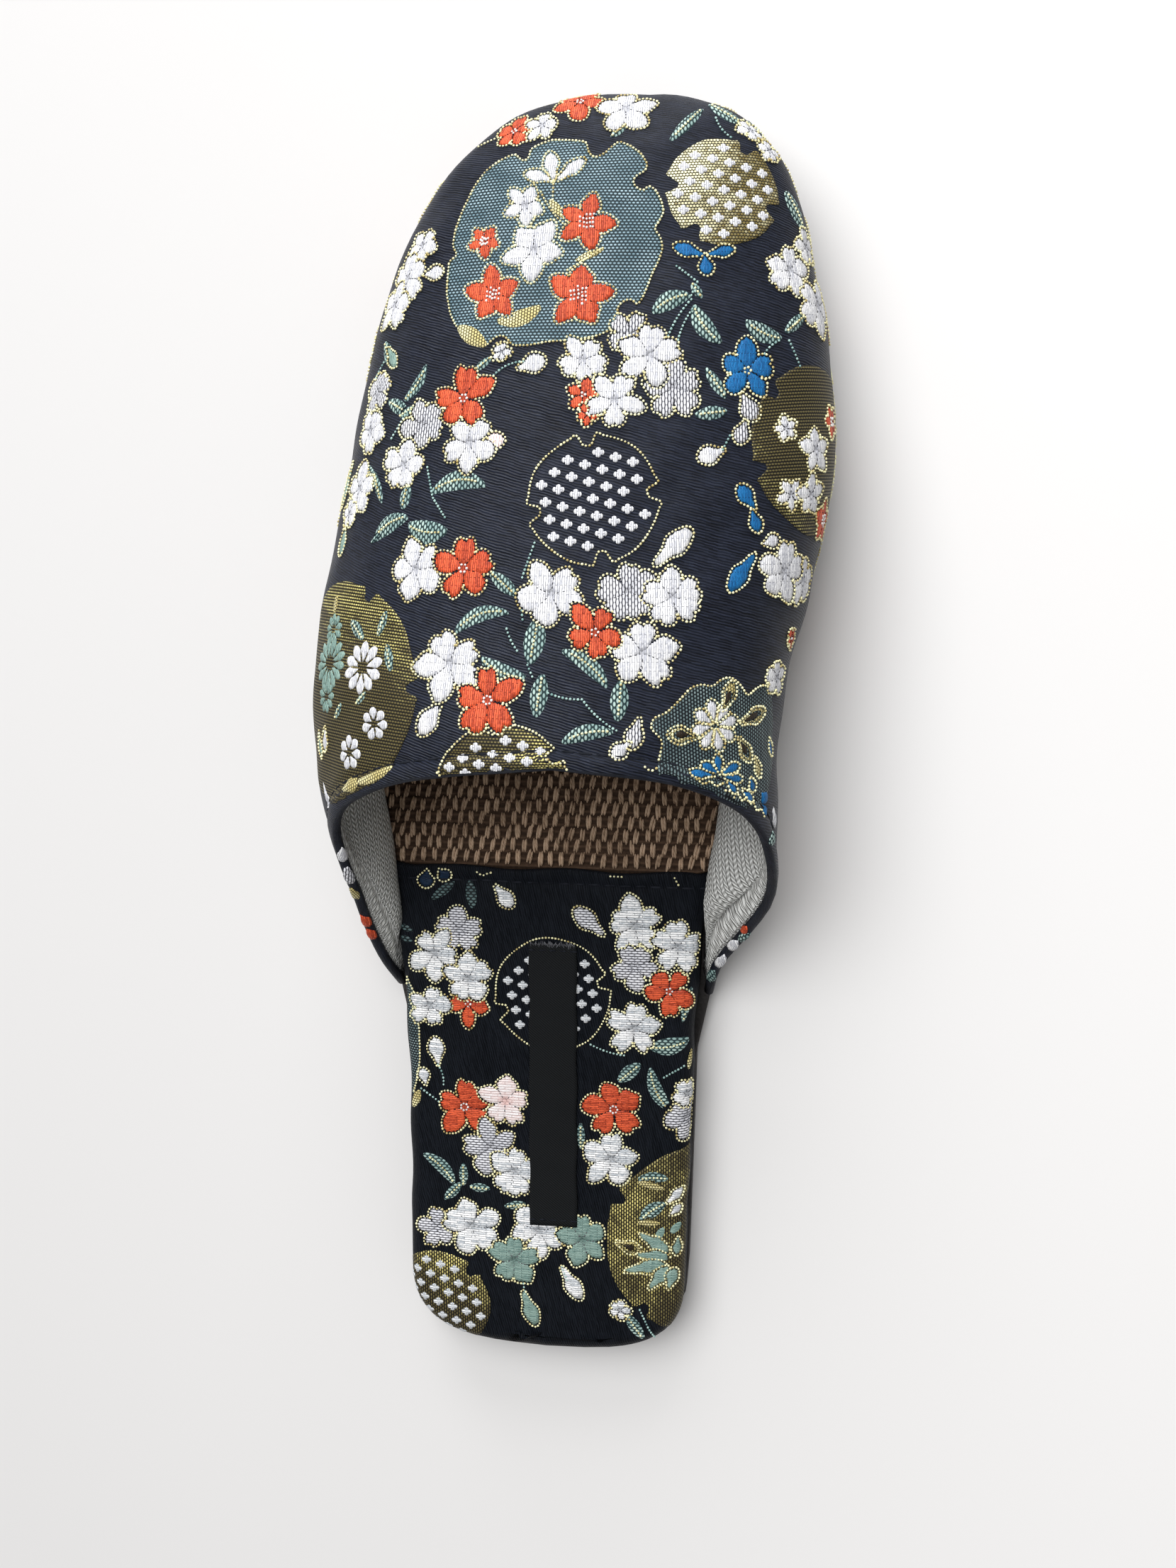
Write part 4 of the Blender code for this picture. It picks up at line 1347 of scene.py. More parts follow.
vampStems = (
    stem("goldBead", ((528, 837), (553, 871)), 0.05), stem("goldBead", ((555, 915), (591, 894))),
    stem("goldBead", ((541, 826), (540, 845))), stem("goldBead", ((442, 806), (464, 791), (486, 782))),
    stem("tealBead", ((704, 770), (719, 789)), 0.1),
    stem("tealBead", ((666, 913), (687, 929), (681, 942))),
    stem("tealBead", ((681, 946), (658, 982)), 0.05), stem("tealBead", ((684, 953), (668, 986)), 0.05),
    stem("tealBead", ((769, 988), (752, 1007)), 0.1), stem("tealBead", ((779, 988), (790, 1013))),
    stem("tealBead", ((721, 1082), (714, 1096))), stem("tealBead", ((509, 1006), (478, 1020)), 0.1),
    stem("tealBead", ((386, 1057), (369, 1084))),
    stem("tealBead", ((407, 1114), (412, 1145), (425, 1166))),
    stem("tealBead", ((520, 1192), (507, 1228))), stem("tealBead", ((490, 1282), (501, 1305)), 0.05),
    stem("tealBead", ((505, 1253), (507, 1272))),
    stem("tealBead", ((534, 1349), (570, 1355), (606, 1387)), 0.06),
    stem("tealBead", ((424, 1352), (417, 1364))), stem("tealBead", ((512, 1320), (517, 1332))),
    stem("tealBead", ((366, 1000), (350, 1030)), 0.05),
    stem("goldBead", ((636, 1425), (642, 1429), (648, 1426))),
    stem("goldBead", ((690, 1436), (697, 1441), (704, 1438), (710, 1443), (717, 1440))),
    stem("goldBead", ((720, 1447), (726, 1448), (729, 1454))),
    stem("goldBead", ((733, 1451), (737, 1457), (742, 1454), (746, 1460))),
    stem("goldBead", ((749, 1460), (752, 1467), (757, 1466), (760, 1473))),
)
vampCores = (  # dark hearts of the gilt petals
    drop("umber", 682, 1390, 668, 1389, 9), drop("umber", 719, 1357, 724, 1343, 8),
    drop("umber", 738, 1374, 753, 1365, 8), drop("umber", 735, 1396, 742, 1408, 8),
)
heelStems = (
    stem("tealBead", ((579, 1728), (615, 1738)), 0.05), stem("tealBead", ((658, 1760), (679, 1746))),
    stem("tealBead", ((411, 1760), (417, 1782)), -0.1), stem("tealBead", ((392, 1788), (413, 1803))),
    stem("tealBead", ((547, 1981), (553, 1996))), stem("tealBead", ((633, 2024), (649, 2053))),
    stem("tealBead", ((504, 2000), (506, 2016))), stem("goldBead", ((600, 1543), (612, 1543))),
    stem("goldBead", ((456, 1544), (462, 1547), (471, 1544))), stem("goldBead", ((668, 1542), (672, 1549))),
)
# glow is the side of a ring's ground painted lighter, in degrees; gloom adds painted shade to the whole
# ground
ring = namedtuple(
    "ring",
    "ground photoX photoY wide outlined dotted notches glow below aside gloom",
    defaults=(None, 0, 0, 0.0),
)
vampRings = (
    ring("goldGround", 713, 839, 116, False, True, (172, 60, -20, 232), 165),
    ring("", 581, 1146, 132, True, True, (98, 193, 8, -79)),
    ring("bronzeGround", 812, 1097, 172, False, False, (190, 130), 215, gloom=0.12),
    ring("bronzeGround", 301, 1354, 240, False, False, (74, 10), 75),
    ring("bronzeGround", 484, 1408, 135, True, True, (99, 30), 20, 44),
)
heelRings = (
    ring("", 537, 1675, 120, True, True, (200, 15)),
    ring("bronzeGround", 428, 2030, 118, False, True, (46,), 60, 3, -20),
    ring("bronzeGround", 634, 1946, 216, False, False, (153, 229), 170, 0, 70),
)
# The large ring behind the toe's stars has a scalloped edge, followed round clockwise.
mark = namedtuple("mark", "photoX photoY bare", defaults=(False,))
tealRing = ring("tealGround", 541, 889, 214, True, False, ())
tealRingMarks = (
    mark(501, 799), mark(505, 804), mark(511, 807), mark(516, 801), mark(516, 795), mark(526, 790),
    mark(539, 786), mark(558, 787), mark(574, 789), mark(576, 799), mark(582, 805), mark(592, 801),
    mark(600, 794), mark(607, 789), mark(619, 794), mark(630, 802), mark(637, 813), mark(635, 819),
    mark(626, 823), mark(621, 829), mark(626, 836), mark(634, 839), mark(637, 833), mark(645, 838),
    mark(651, 850), mark(653, 860), mark(648, 869), mark(643, 876), mark(650, 884), mark(652, 896),
    mark(648, 908), mark(642, 919), mark(637, 932), mark(632, 944), mark(626, 952), mark(623, 946),
    mark(616, 945), mark(607, 951), mark(606, 959), mark(612, 964), mark(602, 974), mark(586, 981),
    mark(561, 985), mark(536, 986), mark(513, 990), mark(498, 990), mark(491, 981), mark(484, 979),
    mark(476, 984), mark(470, 990), mark(453, 979), mark(438, 969), mark(432, 956), mark(429, 936),
    mark(430, 921), mark(432, 903), mark(441, 898), mark(436, 888), mark(439, 873), mark(447, 853),
    mark(459, 830), mark(471, 815), mark(486, 805),
)
cornerRing = ring("duskGround", 712, 1388, 130, True, False, ())  # scalloped, by the inner end of the throat
cornerRingMarks = (
    mark(641, 1383), mark(644, 1373), mark(658, 1367), mark(669, 1356), mark(683, 1340), mark(695, 1336),
    mark(705, 1339), mark(714, 1331), mark(723, 1328), mark(731, 1332), mark(737, 1340), mark(742, 1348),
    mark(750, 1340), mark(757, 1336), mark(764, 1338), mark(767, 1346, True), mark(769, 1381, True),
    mark(769, 1409, True), mark(767, 1436, True), mark(764, 1456, True), mark(757, 1470, True),
    mark(744, 1473, True), mark(717, 1462, True), mark(682, 1449, True), mark(664, 1442, True),
    mark(648, 1434, True), mark(650, 1416, True), mark(653, 1403), mark(654, 1396), mark(648, 1390),
)
edgeRing = ring("duskGround", 382, 1730, 130, True, False, ())  # turns down over the heel's outer edge
edgeRingMarks = (
    mark(375, 1662), mark(385, 1679), mark(389, 1698), mark(391, 1727), mark(391, 1756), mark(387, 1780),
    mark(383, 1796), mark(374, 1797, True), mark(372, 1760, True), mark(371, 1727, True),
    mark(371, 1698, True), mark(371, 1672, True),
)
# Figures past the photo's outline carry the cloth's pattern on down the sides, in millimetres.
flank = namedtuple("flank", "thread side along height wide turn")
flankBlossoms = (
    flank("white", lateral, 172, 15, 12, 90), flank("red", lateral, 161, 20, 13, 60),
    flank("white", lateral, 150, 14, 13, 20), flank("shaded", lateral, 200, 16, 12, 40),
    flank("white", lateral, 212, 21, 12, 90), flank("red", lateral, 226, 15, 12, 20),
    flank("white", lateral, 96, 13, 9, 60), flank("red", lateral, 90, 10, 8, 0),
    flank("white", lateral, 112, 17, 12, 100), flank("white", medial, 120, 20, 12, 80),
    flank("red", medial, 109, 17, 11, 40), flank("white", medial, 100, 15, 11, 90),
    flank("white", medial, 148, 18, 12, 10), flank("red", medial, 160, 12, 11, 70),
    flank("shaded", medial, 171, 16, 12, 40), flank("white", medial, 199, 13, 12, 80),
    flank("red", medial, 219, 15, 12, 10), flank("white", medial, 232, 15, 12, 60),
    flank("blue", medial, 129, 22, 10, 30), flank("white", lateral, 243, 17, 12, 30),
    flank("white", medial, 247, 13, 11, 0), flank("red", lateral, 252, 12, 11, 70),
    flank("white", medial, 155, 19, 12, 30), flank("red", medial, 146, 15, 10, 80),
    flank("white", medial, 138, 19, 11, 60), flank("white", lateral, 262, 12, 11, 50),
    flank("shaded", medial, 261, 14, 11, 20), flank("white", lateral, 130, 12, 11, 40),
    flank("shaded", lateral, 120, 11, 10, 80), flank("white", lateral, 236, 11, 10, 10),
    flank("white", medial, 186, 17, 11, 50), flank("red", medial, 189, 12, 10, 20),
    flank("blue", lateral, 184, 24, 10, 0),
)
flankLeaves = (
    flank("leaf", lateral, 181, 13, 11, 120), flank("leaf", lateral, 187, 20, 10, 60),
    flank("leaf", lateral, 140, 21, 11, 150), flank("leaf", lateral, 104, 12, 9, 40),
    flank("leaf", medial, 140, 12, 11, 60), flank("leaf", medial, 180, 14, 11, 130),
    flank("leaf", medial, 208, 15, 10, 40), flank("leaf", medial, 115, 13, 10, 100),
    flank("leaf", lateral, 218, 11, 10, 30), flank("leaf", medial, 225, 11, 10, 150),
    flank("leaf", lateral, 258, 17, 10, 60), flank("leaf", medial, 255, 18, 10, 120),
    flank("leaf", lateral, 126, 19, 10, 130), flank("leaf", medial, 127, 15, 10, 40),
    flank("leaf", lateral, 167, 10, 10, 160),
)


# A ring's edge is bitten, and each bite has a small horn at either side.
notch = {"depth": 2.1, "slope": (0.7, 1.8), "horn": 0.35, "hornOut": 2.0, "hornWidth": 0.6}


def ringEdge(row, scale):
    radius = row.wide / 2 * scale

    def edge(angle):
        reach = radius * (1 + 0.010 * cos(7 * angle))
        for turn in row.notches:
            off = abs((angle - radians(turn) + pi) % (2 * pi) - pi) * radius
            horn = notch["horn"] * exp(-(((off - notch["hornOut"]) / notch["hornWidth"]) ** 2))
            reach += horn - notch["depth"] * (1 - ramp(off, *notch["slope"]))
        return reach

    return edge


def tracedEdge(cloth, spot, marks):  # polar edge through photo marks around the spot
    corners = []
    for row in marks:
        near = cloth.cast(row.photoX, row.photoY)
        ray = photoRay(row.photoX, row.photoY)
        if not near or near.normal.dot(ray) > 0:  # past the cloth's edge, so the nearest of the edge is taken
            near = cloth.nearest(photoEye + ray * ((spot.point.z - photoEye.z) / ray.z))
        away = near.point - spot.point
        a, b = away.dot(spot.right), away.dot(spot.up)
        grow = away.length / hypot(a, b) / mm
        corners.append((a * grow, b * grow, row.bare))
    return corners


def addRings(cloth, rows):
    for row in rows:
        spot = cloth.cast(row.photoX, row.photoY)
        addFigure(cloth, spot, row.wide / 2 * spot.mmPerPixel, None, drawRing, row)


def drawRing(item, row):
    edge = ringEdge(row, item.spot.mmPerPixel)
    radius = row.wide / 2 * item.spot.mmPerPixel
    # A centre off the cloth is charted from a spot on it, by how far below and to the right it lies.
    centre = (row.aside * item.spot.mmPerPixel, -row.below * item.spot.mmPerPixel)
    spokes = int(2 * pi * radius / figure["spokeStep"])
    glow = radians(row.glow or 0)

    def paintedRingShade(a, b):  # painted light and shade: the ground is painted lighter on the side turned to the light, darker on the other
        if row.glow is None:
            return 0.0
        towards = (a - centre[0]) * cos(glow) + (b - centre[1]) * sin(glow)
        turnedAwayShade = figure["ringPaintedShade"][row.ground] * ramp(0.5 - 0.5 * towards / radius, 0.0, 0.8)
        return turnedAwayShade + row.gloom - figure["ringPaintedLight"]

    if row.ground:
        flat = lambda share, angle: figure["groundRise"]
        steps = int(radius / figure["groundStep"])
        polarPatch(item, row.ground, edge, flat, spokes, steps, centre, hide=False, deep=paintedRingShade)
    if row.outlined:
        outlineLoop(item, "goldBead", edge, centre)
    if row.dotted:
        pitch, lean = figure["dotPitch"], radians(figure["dotLean"])
        reach = ceil(radius / pitch) + 1
        for i in range(-reach, reach + 1):
            for k in range(-reach, reach + 1):
                x, y = (i + 0.5 * (k % 2)) * pitch, k * pitch * figure["dotRowShare"]
                a, b = x * cos(lean) - y * sin(lean), x * sin(lean) + y * cos(lean)
                point, normal, inside = item.cloth.walk(item.spot, a + centre[0], b + centre[1])
                clear = edge(atan2(b, a)) - hypot(a, b) > figure["dotClear"]
                if inside and clear and not covered(item, point, figure["besideDot"]):
                    addDot(item.cloth, item.cloth.spotFrom(point, normal))


def addDot(cloth, spot):
    def edge(angle):  # four blunt lobes, a little wider than high
        lobes = figure["dotRadius"] * (0.58 + 0.42 * abs(cos(2 * angle)) ** 0.5)
        return lobes * hypot(1.08 * cos(angle), 0.92 * sin(angle))

    dome = lambda share, angle: figure["dotRise"] * (1 - 0.4 * share * share)
    polarPatch(Figure(cloth, spot, 0.0, None), "white", edge, dome, 24, 2, hide=False)


def addTraced(cloth, row, marks):  # a ground whose outline is followed mark by mark
    spot = cloth.cast(row.photoX, row.photoY)
    corners = tracedEdge(cloth, spot, marks)
    addFigure(cloth, spot, row.wide / 2 * spot.mmPerPixel, None, drawTraced, row, corners)


def shareOnCloth(item, a, b):  # how much of the way from the figure's middle stays on the cloth
    steps = figure["shareSteps"]
    for step in range(steps, 0, -1):
        if item.cloth.walk(item.spot, a * step / steps, b * step / steps)[2]:
            return step / steps
    return 0.0


def drawTraced(item, row, corners):
    marks, bare = [], []
    for (fromA, fromB, fromBare), (toA, toB, toBare) in zip(corners, corners[1:] + corners[:1]):
        steps = max(2, int(hypot(toA - fromA, toB - fromB) / figure["traceStep"]))
        for k in range(steps):
            marks.append((fromA + (toA - fromA) * k / steps, fromB + (toB - fromB) * k / steps))
            bare.append(fromBare and toBare)
    smooth = []
    for i in range(len(marks)):
        near = [marks[(i + k) % len(marks)] for k in (-1, 0, 1)]
        a, b = sum(m[0] for m in near) / 3, sum(m[1] for m in near) / 3
        share = shareOnCloth(item, a, b)
        smooth.append((a * share, b * share))
    patch = patches.setdefault((row.ground, item.cloth.turned), Patches())
    rows = []
    rings = int(item.reach / figure["groundStep"])
    for step in range(1, rings + 2):  # the last row drops from the edge into the cloth
        share = min(1.0, step / rings)
        rise = figure["groundRise"] if step <= rings else -figure["tuck"]
        line = []
        for a, b in smooth:
            point, normal, _ = item.cloth.walk(item.spot, a * share, b * share)
            line.append(patch.add(point + normal * rise * mm, item.cloth.lay(a * share, b * share)))
        rows.append(line)
    middle = patch.add(item.spot.point + item.spot.normal * figure["groundRise"] * mm, (0.0, 0.0))
    base = patch.add(item.spot.point - item.spot.normal * 4 * figure["tuck"] * mm, (0.0, 0.0))
    count = len(smooth)
    turn = sum(a * d - b * c for (a, b), (c, d) in zip(smooth, smooth[1:])) > 0
    for k in range(count):
        n = (k + 1) % count
        ends = [(middle, rows[0][k], rows[0][n]), (rows[-1][n], rows[-1][k], base)]
        quads = [(inner[k], outer[k], outer[n], inner[n]) for inner, outer in zip(rows, rows[1:])]
        patch.faces += [face if turn else face[::-1] for face in ends + quads]
    beads = []
    for (a, b), unlined in zip(smooth + smooth[:1], bare + bare[:1]):
        point, normal, _ = item.cloth.walk(item.spot, a, b)
        hidden = unlined or covered(item, point, figure["besideLine"])
        beads.append(None if hidden else (point, normal))
    keepRuns("goldBead", item.cloth, beads, figure["beadLift"])


# Petal shares of the flower's radius; beads keep out of the middle as far as the valley.
petalShape = namedtuple("petalShape", "breadth base heart valley")
petalShapes = {
    "open": petalShape(0.340, 0.10, 0.20, 0.42),
    "full": petalShape(0.370, 0.06, 0.28, 0.50),
    "star": petalShape(0.335, 0.04, 0.30, 0.48),
}
petalVary = {"heading": (-0.16, 0.16), "length": (0.86, 1.06), "breadth": (0.86, 1.16), "starLength": 0.84}


def addFlower(cloth, spot, thread, wide, turn, star=False):
    radius = wide / 2
    kind = "star" if star else "open" if thread in ("red", "blue") else "full"
    shape = petalShapes[kind]
    petals, headings = [], []
    for k in range(5):
        heading = radians(turn) + 2 * pi * k / 5 + chance.uniform(*petalVary["heading"])
        length = radius * chance.uniform(*petalVary["length"]) * (petalVary["starLength"] if star else 1.0)
        breadth = radius * shape.breadth * chance.uniform(*petalVary["breadth"])
        middle = (length / radius + shape.base) / 2 * radius
        centre = (middle * cos(heading), middle * sin(heading))
        tip = "star" if star else chance.choice(("round", "notch", "point", "notch"))
        petals.append((petalEdge(length, shape.base * radius, breadth, heading, tip), centre))
        headings.append(heading)
    tests = [polarCover(edge, *centre) for edge, centre in petals]

    def covers(a, b, margin):
        return hypot(a, b) < 0.5 * radius or any(test(a, b, margin * 1.1) for test in tests)

    addFigure(cloth, spot, radius * 1.15, covers, drawFlower, thread, radius, kind, headings, petals, tests)


def drawFlower(item, thread, radius, kind, headings, petals, tests):
    rise, shape = figure["petalRise"], petalShapes[kind]
    spokes = 2 * max(8, int(pi * radius * 0.42 / figure["threadStep"]))

    def line(marks, thread, lift):
        spots = []
        for a, b in marks:
            point, normal, inside = item.cloth.walk(item.spot, a * radius, b * radius)
            spots.append((point, normal) if inside and not covered(item, point, 1.0) else None)
        keepRuns(thread, item.cloth, spots, lift)

    # painted shade, darkest in the flower's middle
    def paintedMiddleShade(a, b):
        return figure["middlePaintedShade"] * (1 - ramp(hypot(a, b) / radius, *figure["middleTo"]))

    for k, (edge, centre) in enumerate(petals):
        others = tests[:k] + tests[k + 1 :]

        def skip(a, b):
            return hypot(a, b) < shape.valley * radius or any(test(a, b, 1.04) for test in others)

        dome = lambda share, angle: rise * (1 - 0.5 * share**3)
        polarPatch(item, thread, edge, dome, spokes, 3, centre, fray=figure["fray"], deep=paintedMiddleShade)
        outlineLoop(item, "goldBead", edge, centre, skip)
    heart = lambda angle: shape.heart * radius
    polarPatch(item, thread, heart, lambda share, angle: rise * 0.5, 12, 2, deep=paintedMiddleShade)
    for first, last in zip(headings, headings[1:] + [headings[0] + 2 * pi]):  # dark slits between the petals
        angle = (first + last) / 2
        shares = [0.20 + (shape.valley - 0.20) * chance.uniform(0.5, 1.0) * k / 4 for k in range(5)]
        slit = "greyThread" if kind == "full" else "darkThread"
        line([(share * cos(angle), share * sin(angle)) for share in shares], slit, rise * 0.62)
    if kind == "open":  # a ring of pale knots
        knots = [(0.12 * cos(k * pi / 6), 0.12 * sin(k * pi / 6)) for k in range(13)]
        line(knots, "goldBead" if thread == "blue" else "whiteBead", rise * 0.75)
    if kind == "star" and thread == "red":  # a block of short pale floats
        for column in (-0.22, -0.11, 0.0, 0.11, 0.22):
            low, high = chance.uniform(-0.26, -0.08), chance.uniform(0.08, 0.26)
            marks = [(column + chance.uniform(-0.02, 0.02), share) for share in evenly(low, high, 5)]
            line(marks, "whiteBead", rise * 0.9)


def addDrop(cloth, tip, end, thread, wide, plain=False):
    axis = end.point - tip.point
    length = axis.length / mm
    middle = cloth.nearest((end.point + tip.point) / 2)
    heading = atan2(axis.dot(middle.up), axis.dot(middle.right))
    half = wide / 2 * middle.mmPerPixel

    def edge(angle):
        off = (angle - heading + pi) % (2 * pi) - pi  # 0 at the round end
        slim = 1 - 0.38 * ramp(abs(off), pi * 0.35, pi * 0.75) * (1 - ramp(abs(off), pi * 0.85, pi))
        return slim / hypot(cos(off) / (length / 2), sin(off) / half)

    addFigure(cloth, middle, length / 2, polarCover(edge), drawDrop, thread, edge, plain)


def drawDrop(item, thread, edge, plain):
    rise = figure["petalRise"] * (1.35 if plain else 1.0)  # a plain drop lies on top of what is under it
    spokes, fray = (16, 0.0) if plain else (32, figure["fray"])
    dome = lambda share, angle: rise * (1 - 0.7 * share * share)
    polarPatch(item, thread, edge, dome, spokes, 3, hide=not plain, fray=fray)
    if not plain:
        outlineLoop(item, "goldBead", edge)


daisyPetal = {"ends": (0.2, 1.0), "middle": 0.62, "outlined": 0.9, "plain": 1.08}


def addDaisies(cloth, rows):
    for row in rows:
        spot = cloth.cast(row.photoX, row.photoY)
        radius = row.wide / 2 * spot.mmPerPixel
        for k in range(row.petals):
            angle = radians(row.turn) + 2 * pi * k / row.petals
            ends = []
            for share in daisyPetal["ends"]:
                point, normal, _ = cloth.walk(spot, radius * share * cos(angle), radius * share * sin(angle))
                ends.append(cloth.spotFrom(point, normal))
            breadth = 2 * pi * radius * daisyPetal["middle"] / row.petals / spot.mmPerPixel
            breadth *= daisyPetal["outlined" if row.outlined else "plain"]
            addDrop(cloth, ends[0], ends[1], row.thread, breadth, plain=not row.outlined)


def addLeaf(cloth, base, tip, thread, wide, curl):
    axis = tip.point - base.point
    middle = cloth.nearest((tip.point + base.point) / 2)
    length = axis.length / mm
    heading = atan2(axis.dot(middle.up), axis.dot(middle.right))
    half = wide / 2 * middle.mmPerPixel

    def edge(angle):  # almond: pointed at both ends
        along, across = abs(cos(angle - heading)) / (length / 2), abs(sin(angle - heading)) / half
        return 1 / max(1e-6, along**1.25 + across**1.25) ** 0.8

    addFigure(cloth, middle, length / 2, polarCover(edge), drawLeaf, base, tip, thread, half, curl)


def drawLeaf(item, base, tip, thread, half, curl):
    cloth, middle = item.cloth, item.spot
    patch = patches.setdefault((thread, cloth.turned), Patches())
    axis = tip.point - base.point
    length = axis.length / mm
    rows, rib = [], []
    last, mid = figure["leafRows"], figure["leafHalf"]
    for k in range(last + 1):
        t = k / last
        near, normal, _, _ = cloth.tree.find_nearest(base.point + axis * t)
        side = axis.normalized().cross(normal)
        bow = curl * length * 4 * t * (1 - t)
        width = half * sin(pi * min(1.0, t * 0.96 + 0.02)) ** 0.75
        row = []
        for i in range(2 * mid + 1):
            across = -1 + i / mid
            point, normal, _, gap = cloth.tree.find_nearest(near + side * (across * width + bow) * mm)
            edge = i in (0, 2 * mid) or k in (0, last)
            rise = -figure["tuck"] if edge else figure["leafRise"] * (1 - 0.7 * across**2)
            hidden = gap > 0.9 * mm or covered(item, point)
            away = point - middle.point
            weave = cloth.lay(away.dot(middle.right) / mm, away.dot(middle.up) / mm)
            row.append(None if hidden else patch.add(point + normal * rise * mm, weave))
            if i == mid and 1 < k < last - 2:
                rib.append(None if hidden else (point, normal))
        rows.append(row)
    for near, far in zip(rows, rows[1:]):
        for i in range(2 * mid):
            face = (near[i], near[i + 1], far[i + 1], far[i])
            if None not in face:
                patch.faces.append(face)
    if half > figure["ribFrom"] and thread == "leaf":  # a gilt rib on all but the narrowest
        keepRuns("goldBead", cloth, rib, figure["leafRise"] + 0.06)


def figureField(cloth, rings, stars, blossoms, daisies, drops, cores, leaves, stems):
    addRings(cloth, rings)
    for row in leaves:
        base, tip = cloth.cast(row.baseX, row.baseY), cloth.cast(row.tipX, row.tipY)
        if base and tip:
            addLeaf(cloth, base, tip, row.thread, row.wide * figure["leafGrow"], row.curl)
    addDaisies(cloth, daisies)
    for row in drops + cores:
        tip, end = cloth.cast(row.tipX, row.tipY), cloth.cast(row.endX, row.endY)
        if tip and end:
            addDrop(cloth, tip, end, row.thread, row.wide * figure["dropGrow"], row in cores)
    for row in stems:
        spots = [spot for spot in (cloth.cast(x, y) for x, y in row.marks) if spot]
        if len(spots) > 1:
            reach = max((spot.point - spots[0].point).length / mm for spot in spots)
            addFigure(cloth, spots[0], reach, None, drawStem, row.thread, spots, row.curl)
    for row in blossoms + stars:
        spot = cloth.cast(row.photoX, row.photoY)
        if spot:
            addFlower(cloth, spot, row.thread, row.wide * spot.mmPerPixel, row.turn, row in stars)


addTraced(vampCloth, tealRing, tealRingMarks)
addTraced(vampCloth, cornerRing, cornerRingMarks)
addTraced(heelCloth, edgeRing, edgeRingMarks)
figureField(
    vampCloth, vampRings, vampStars, vampBlossoms, vampDaisies, vampDrops, vampCores, vampLeaves, vampStems
)
figureField(heelCloth, heelRings, (), heelBlossoms, (), heelDrops, heelCores, heelLeaves, heelStems)
flankOut, flankLeafWide, flankLeafCurl = 8.0, 22, 0.05
for row in flankLeaves + flankBlossoms:
    reach = planAcross(row.along, row.side, flankOut)
    spot = vampCloth.nearest(place(reach, row.along, row.height))
    if row.thread == "leaf":
        ends = []
        for share in (-0.5, 0.5):
            a, b = row.wide * share * cos(radians(row.turn)), row.wide * share * sin(radians(row.turn))
            point, normal, _ = vampCloth.walk(spot, a, b)
            ends.append(vampCloth.spotFrom(point, normal))
        addLeaf(vampCloth, ends[0], ends[1], "leaf", flankLeafWide, flankLeafCurl)
    else:
        addFlower(vampCloth, spot, row.thread, row.wide, row.turn)
hemFaces = [  # the brocade with its rolled edge
    tuple(face.vertices)
    for face in brocade.data.polygons
    if face.index < len(upperCloth["faces"]) or len(face.vertices) == 4
]
hemCloth = Cloth({"points": [v.co.copy() for v in brocade.data.vertices], "faces": hemFaces}, False)
for row in hemDrops:
    tip, end = hemCloth.cast(row.tipX, row.tipY), hemCloth.cast(row.endX, row.endY)
    if tip and end and (tip.point - end.point).length < figure["hemLongest"] * mm:
        addDrop(hemCloth, tip, end, row.thread, row.wide * figure["hemGrow"], plain=True)
    else:
        print("no hem at", row)
for draw, item, values in jobs:
    draw(item, *values)

clothName = {False: "vamp", True: "heel"}
figureObjects = []
turnedFinish = {"white": "heelWhite", "bronzeGround": "heelBronze"}  # the heel's threads lie the other way, and its white is painted brighter for the light on the heel
for (thread, turned), patch in patches.items():
    thread = turnedFinish.get(thread, thread) if turned else thread
    patch.trim()
    label = clothName[turned] + "Figures_" + thread
    obj = addObject(label, patch.points, patch.faces, patch.weave, thread, deep=patch.deep)
    figureObjects.append((obj, turned))
    print(obj.name, len(patch.faces), "faces")


# Geometry Nodes: beads, stitches and yarn nubs set along a line or on points.
class NodeRow:
    def __init__(self, name, inputs):
        self.tree = bpy.data.node_groups.new(name, "GeometryNodeTree")
        self.tree.interface.new_socket("Geometry", in_out="INPUT", socket_type="NodeSocketGeometry")
        self.keys = {}
        for label, kind in inputs.items():
            item = self.tree.interface.new_socket(label, in_out="INPUT", socket_type=kind)
            self.keys[label] = item.identifier
        self.tree.interface.new_socket("Geometry", in_out="OUTPUT", socket_type="NodeSocketGeometry")
        self.given = self.node("NodeGroupInput").outputs
        self.result = self.node("NodeGroupOutput").inputs[0]

    def node(self, kind, settings=None, sockets=None):
        made = self.tree.nodes.new(kind)
        for key, value in (settings or {}).items():
            setattr(made, key, value)
        for key, value in (sockets or {}).items():
            if isinstance(value, bpy.types.NodeSocket):
                self.tree.links.new(value, made.inputs[key])
            else:
                made.inputs[key].default_value = value
        return made

    def wire(self, kind, settings=None, sockets=None, output=0):
        return self.node(kind, settings, sockets).outputs[output]

    def named(self, name):
        return self.wire("GeometryNodeInputNamedAttribute", {"data_type": "FLOAT_VECTOR"}, {"Name": name})


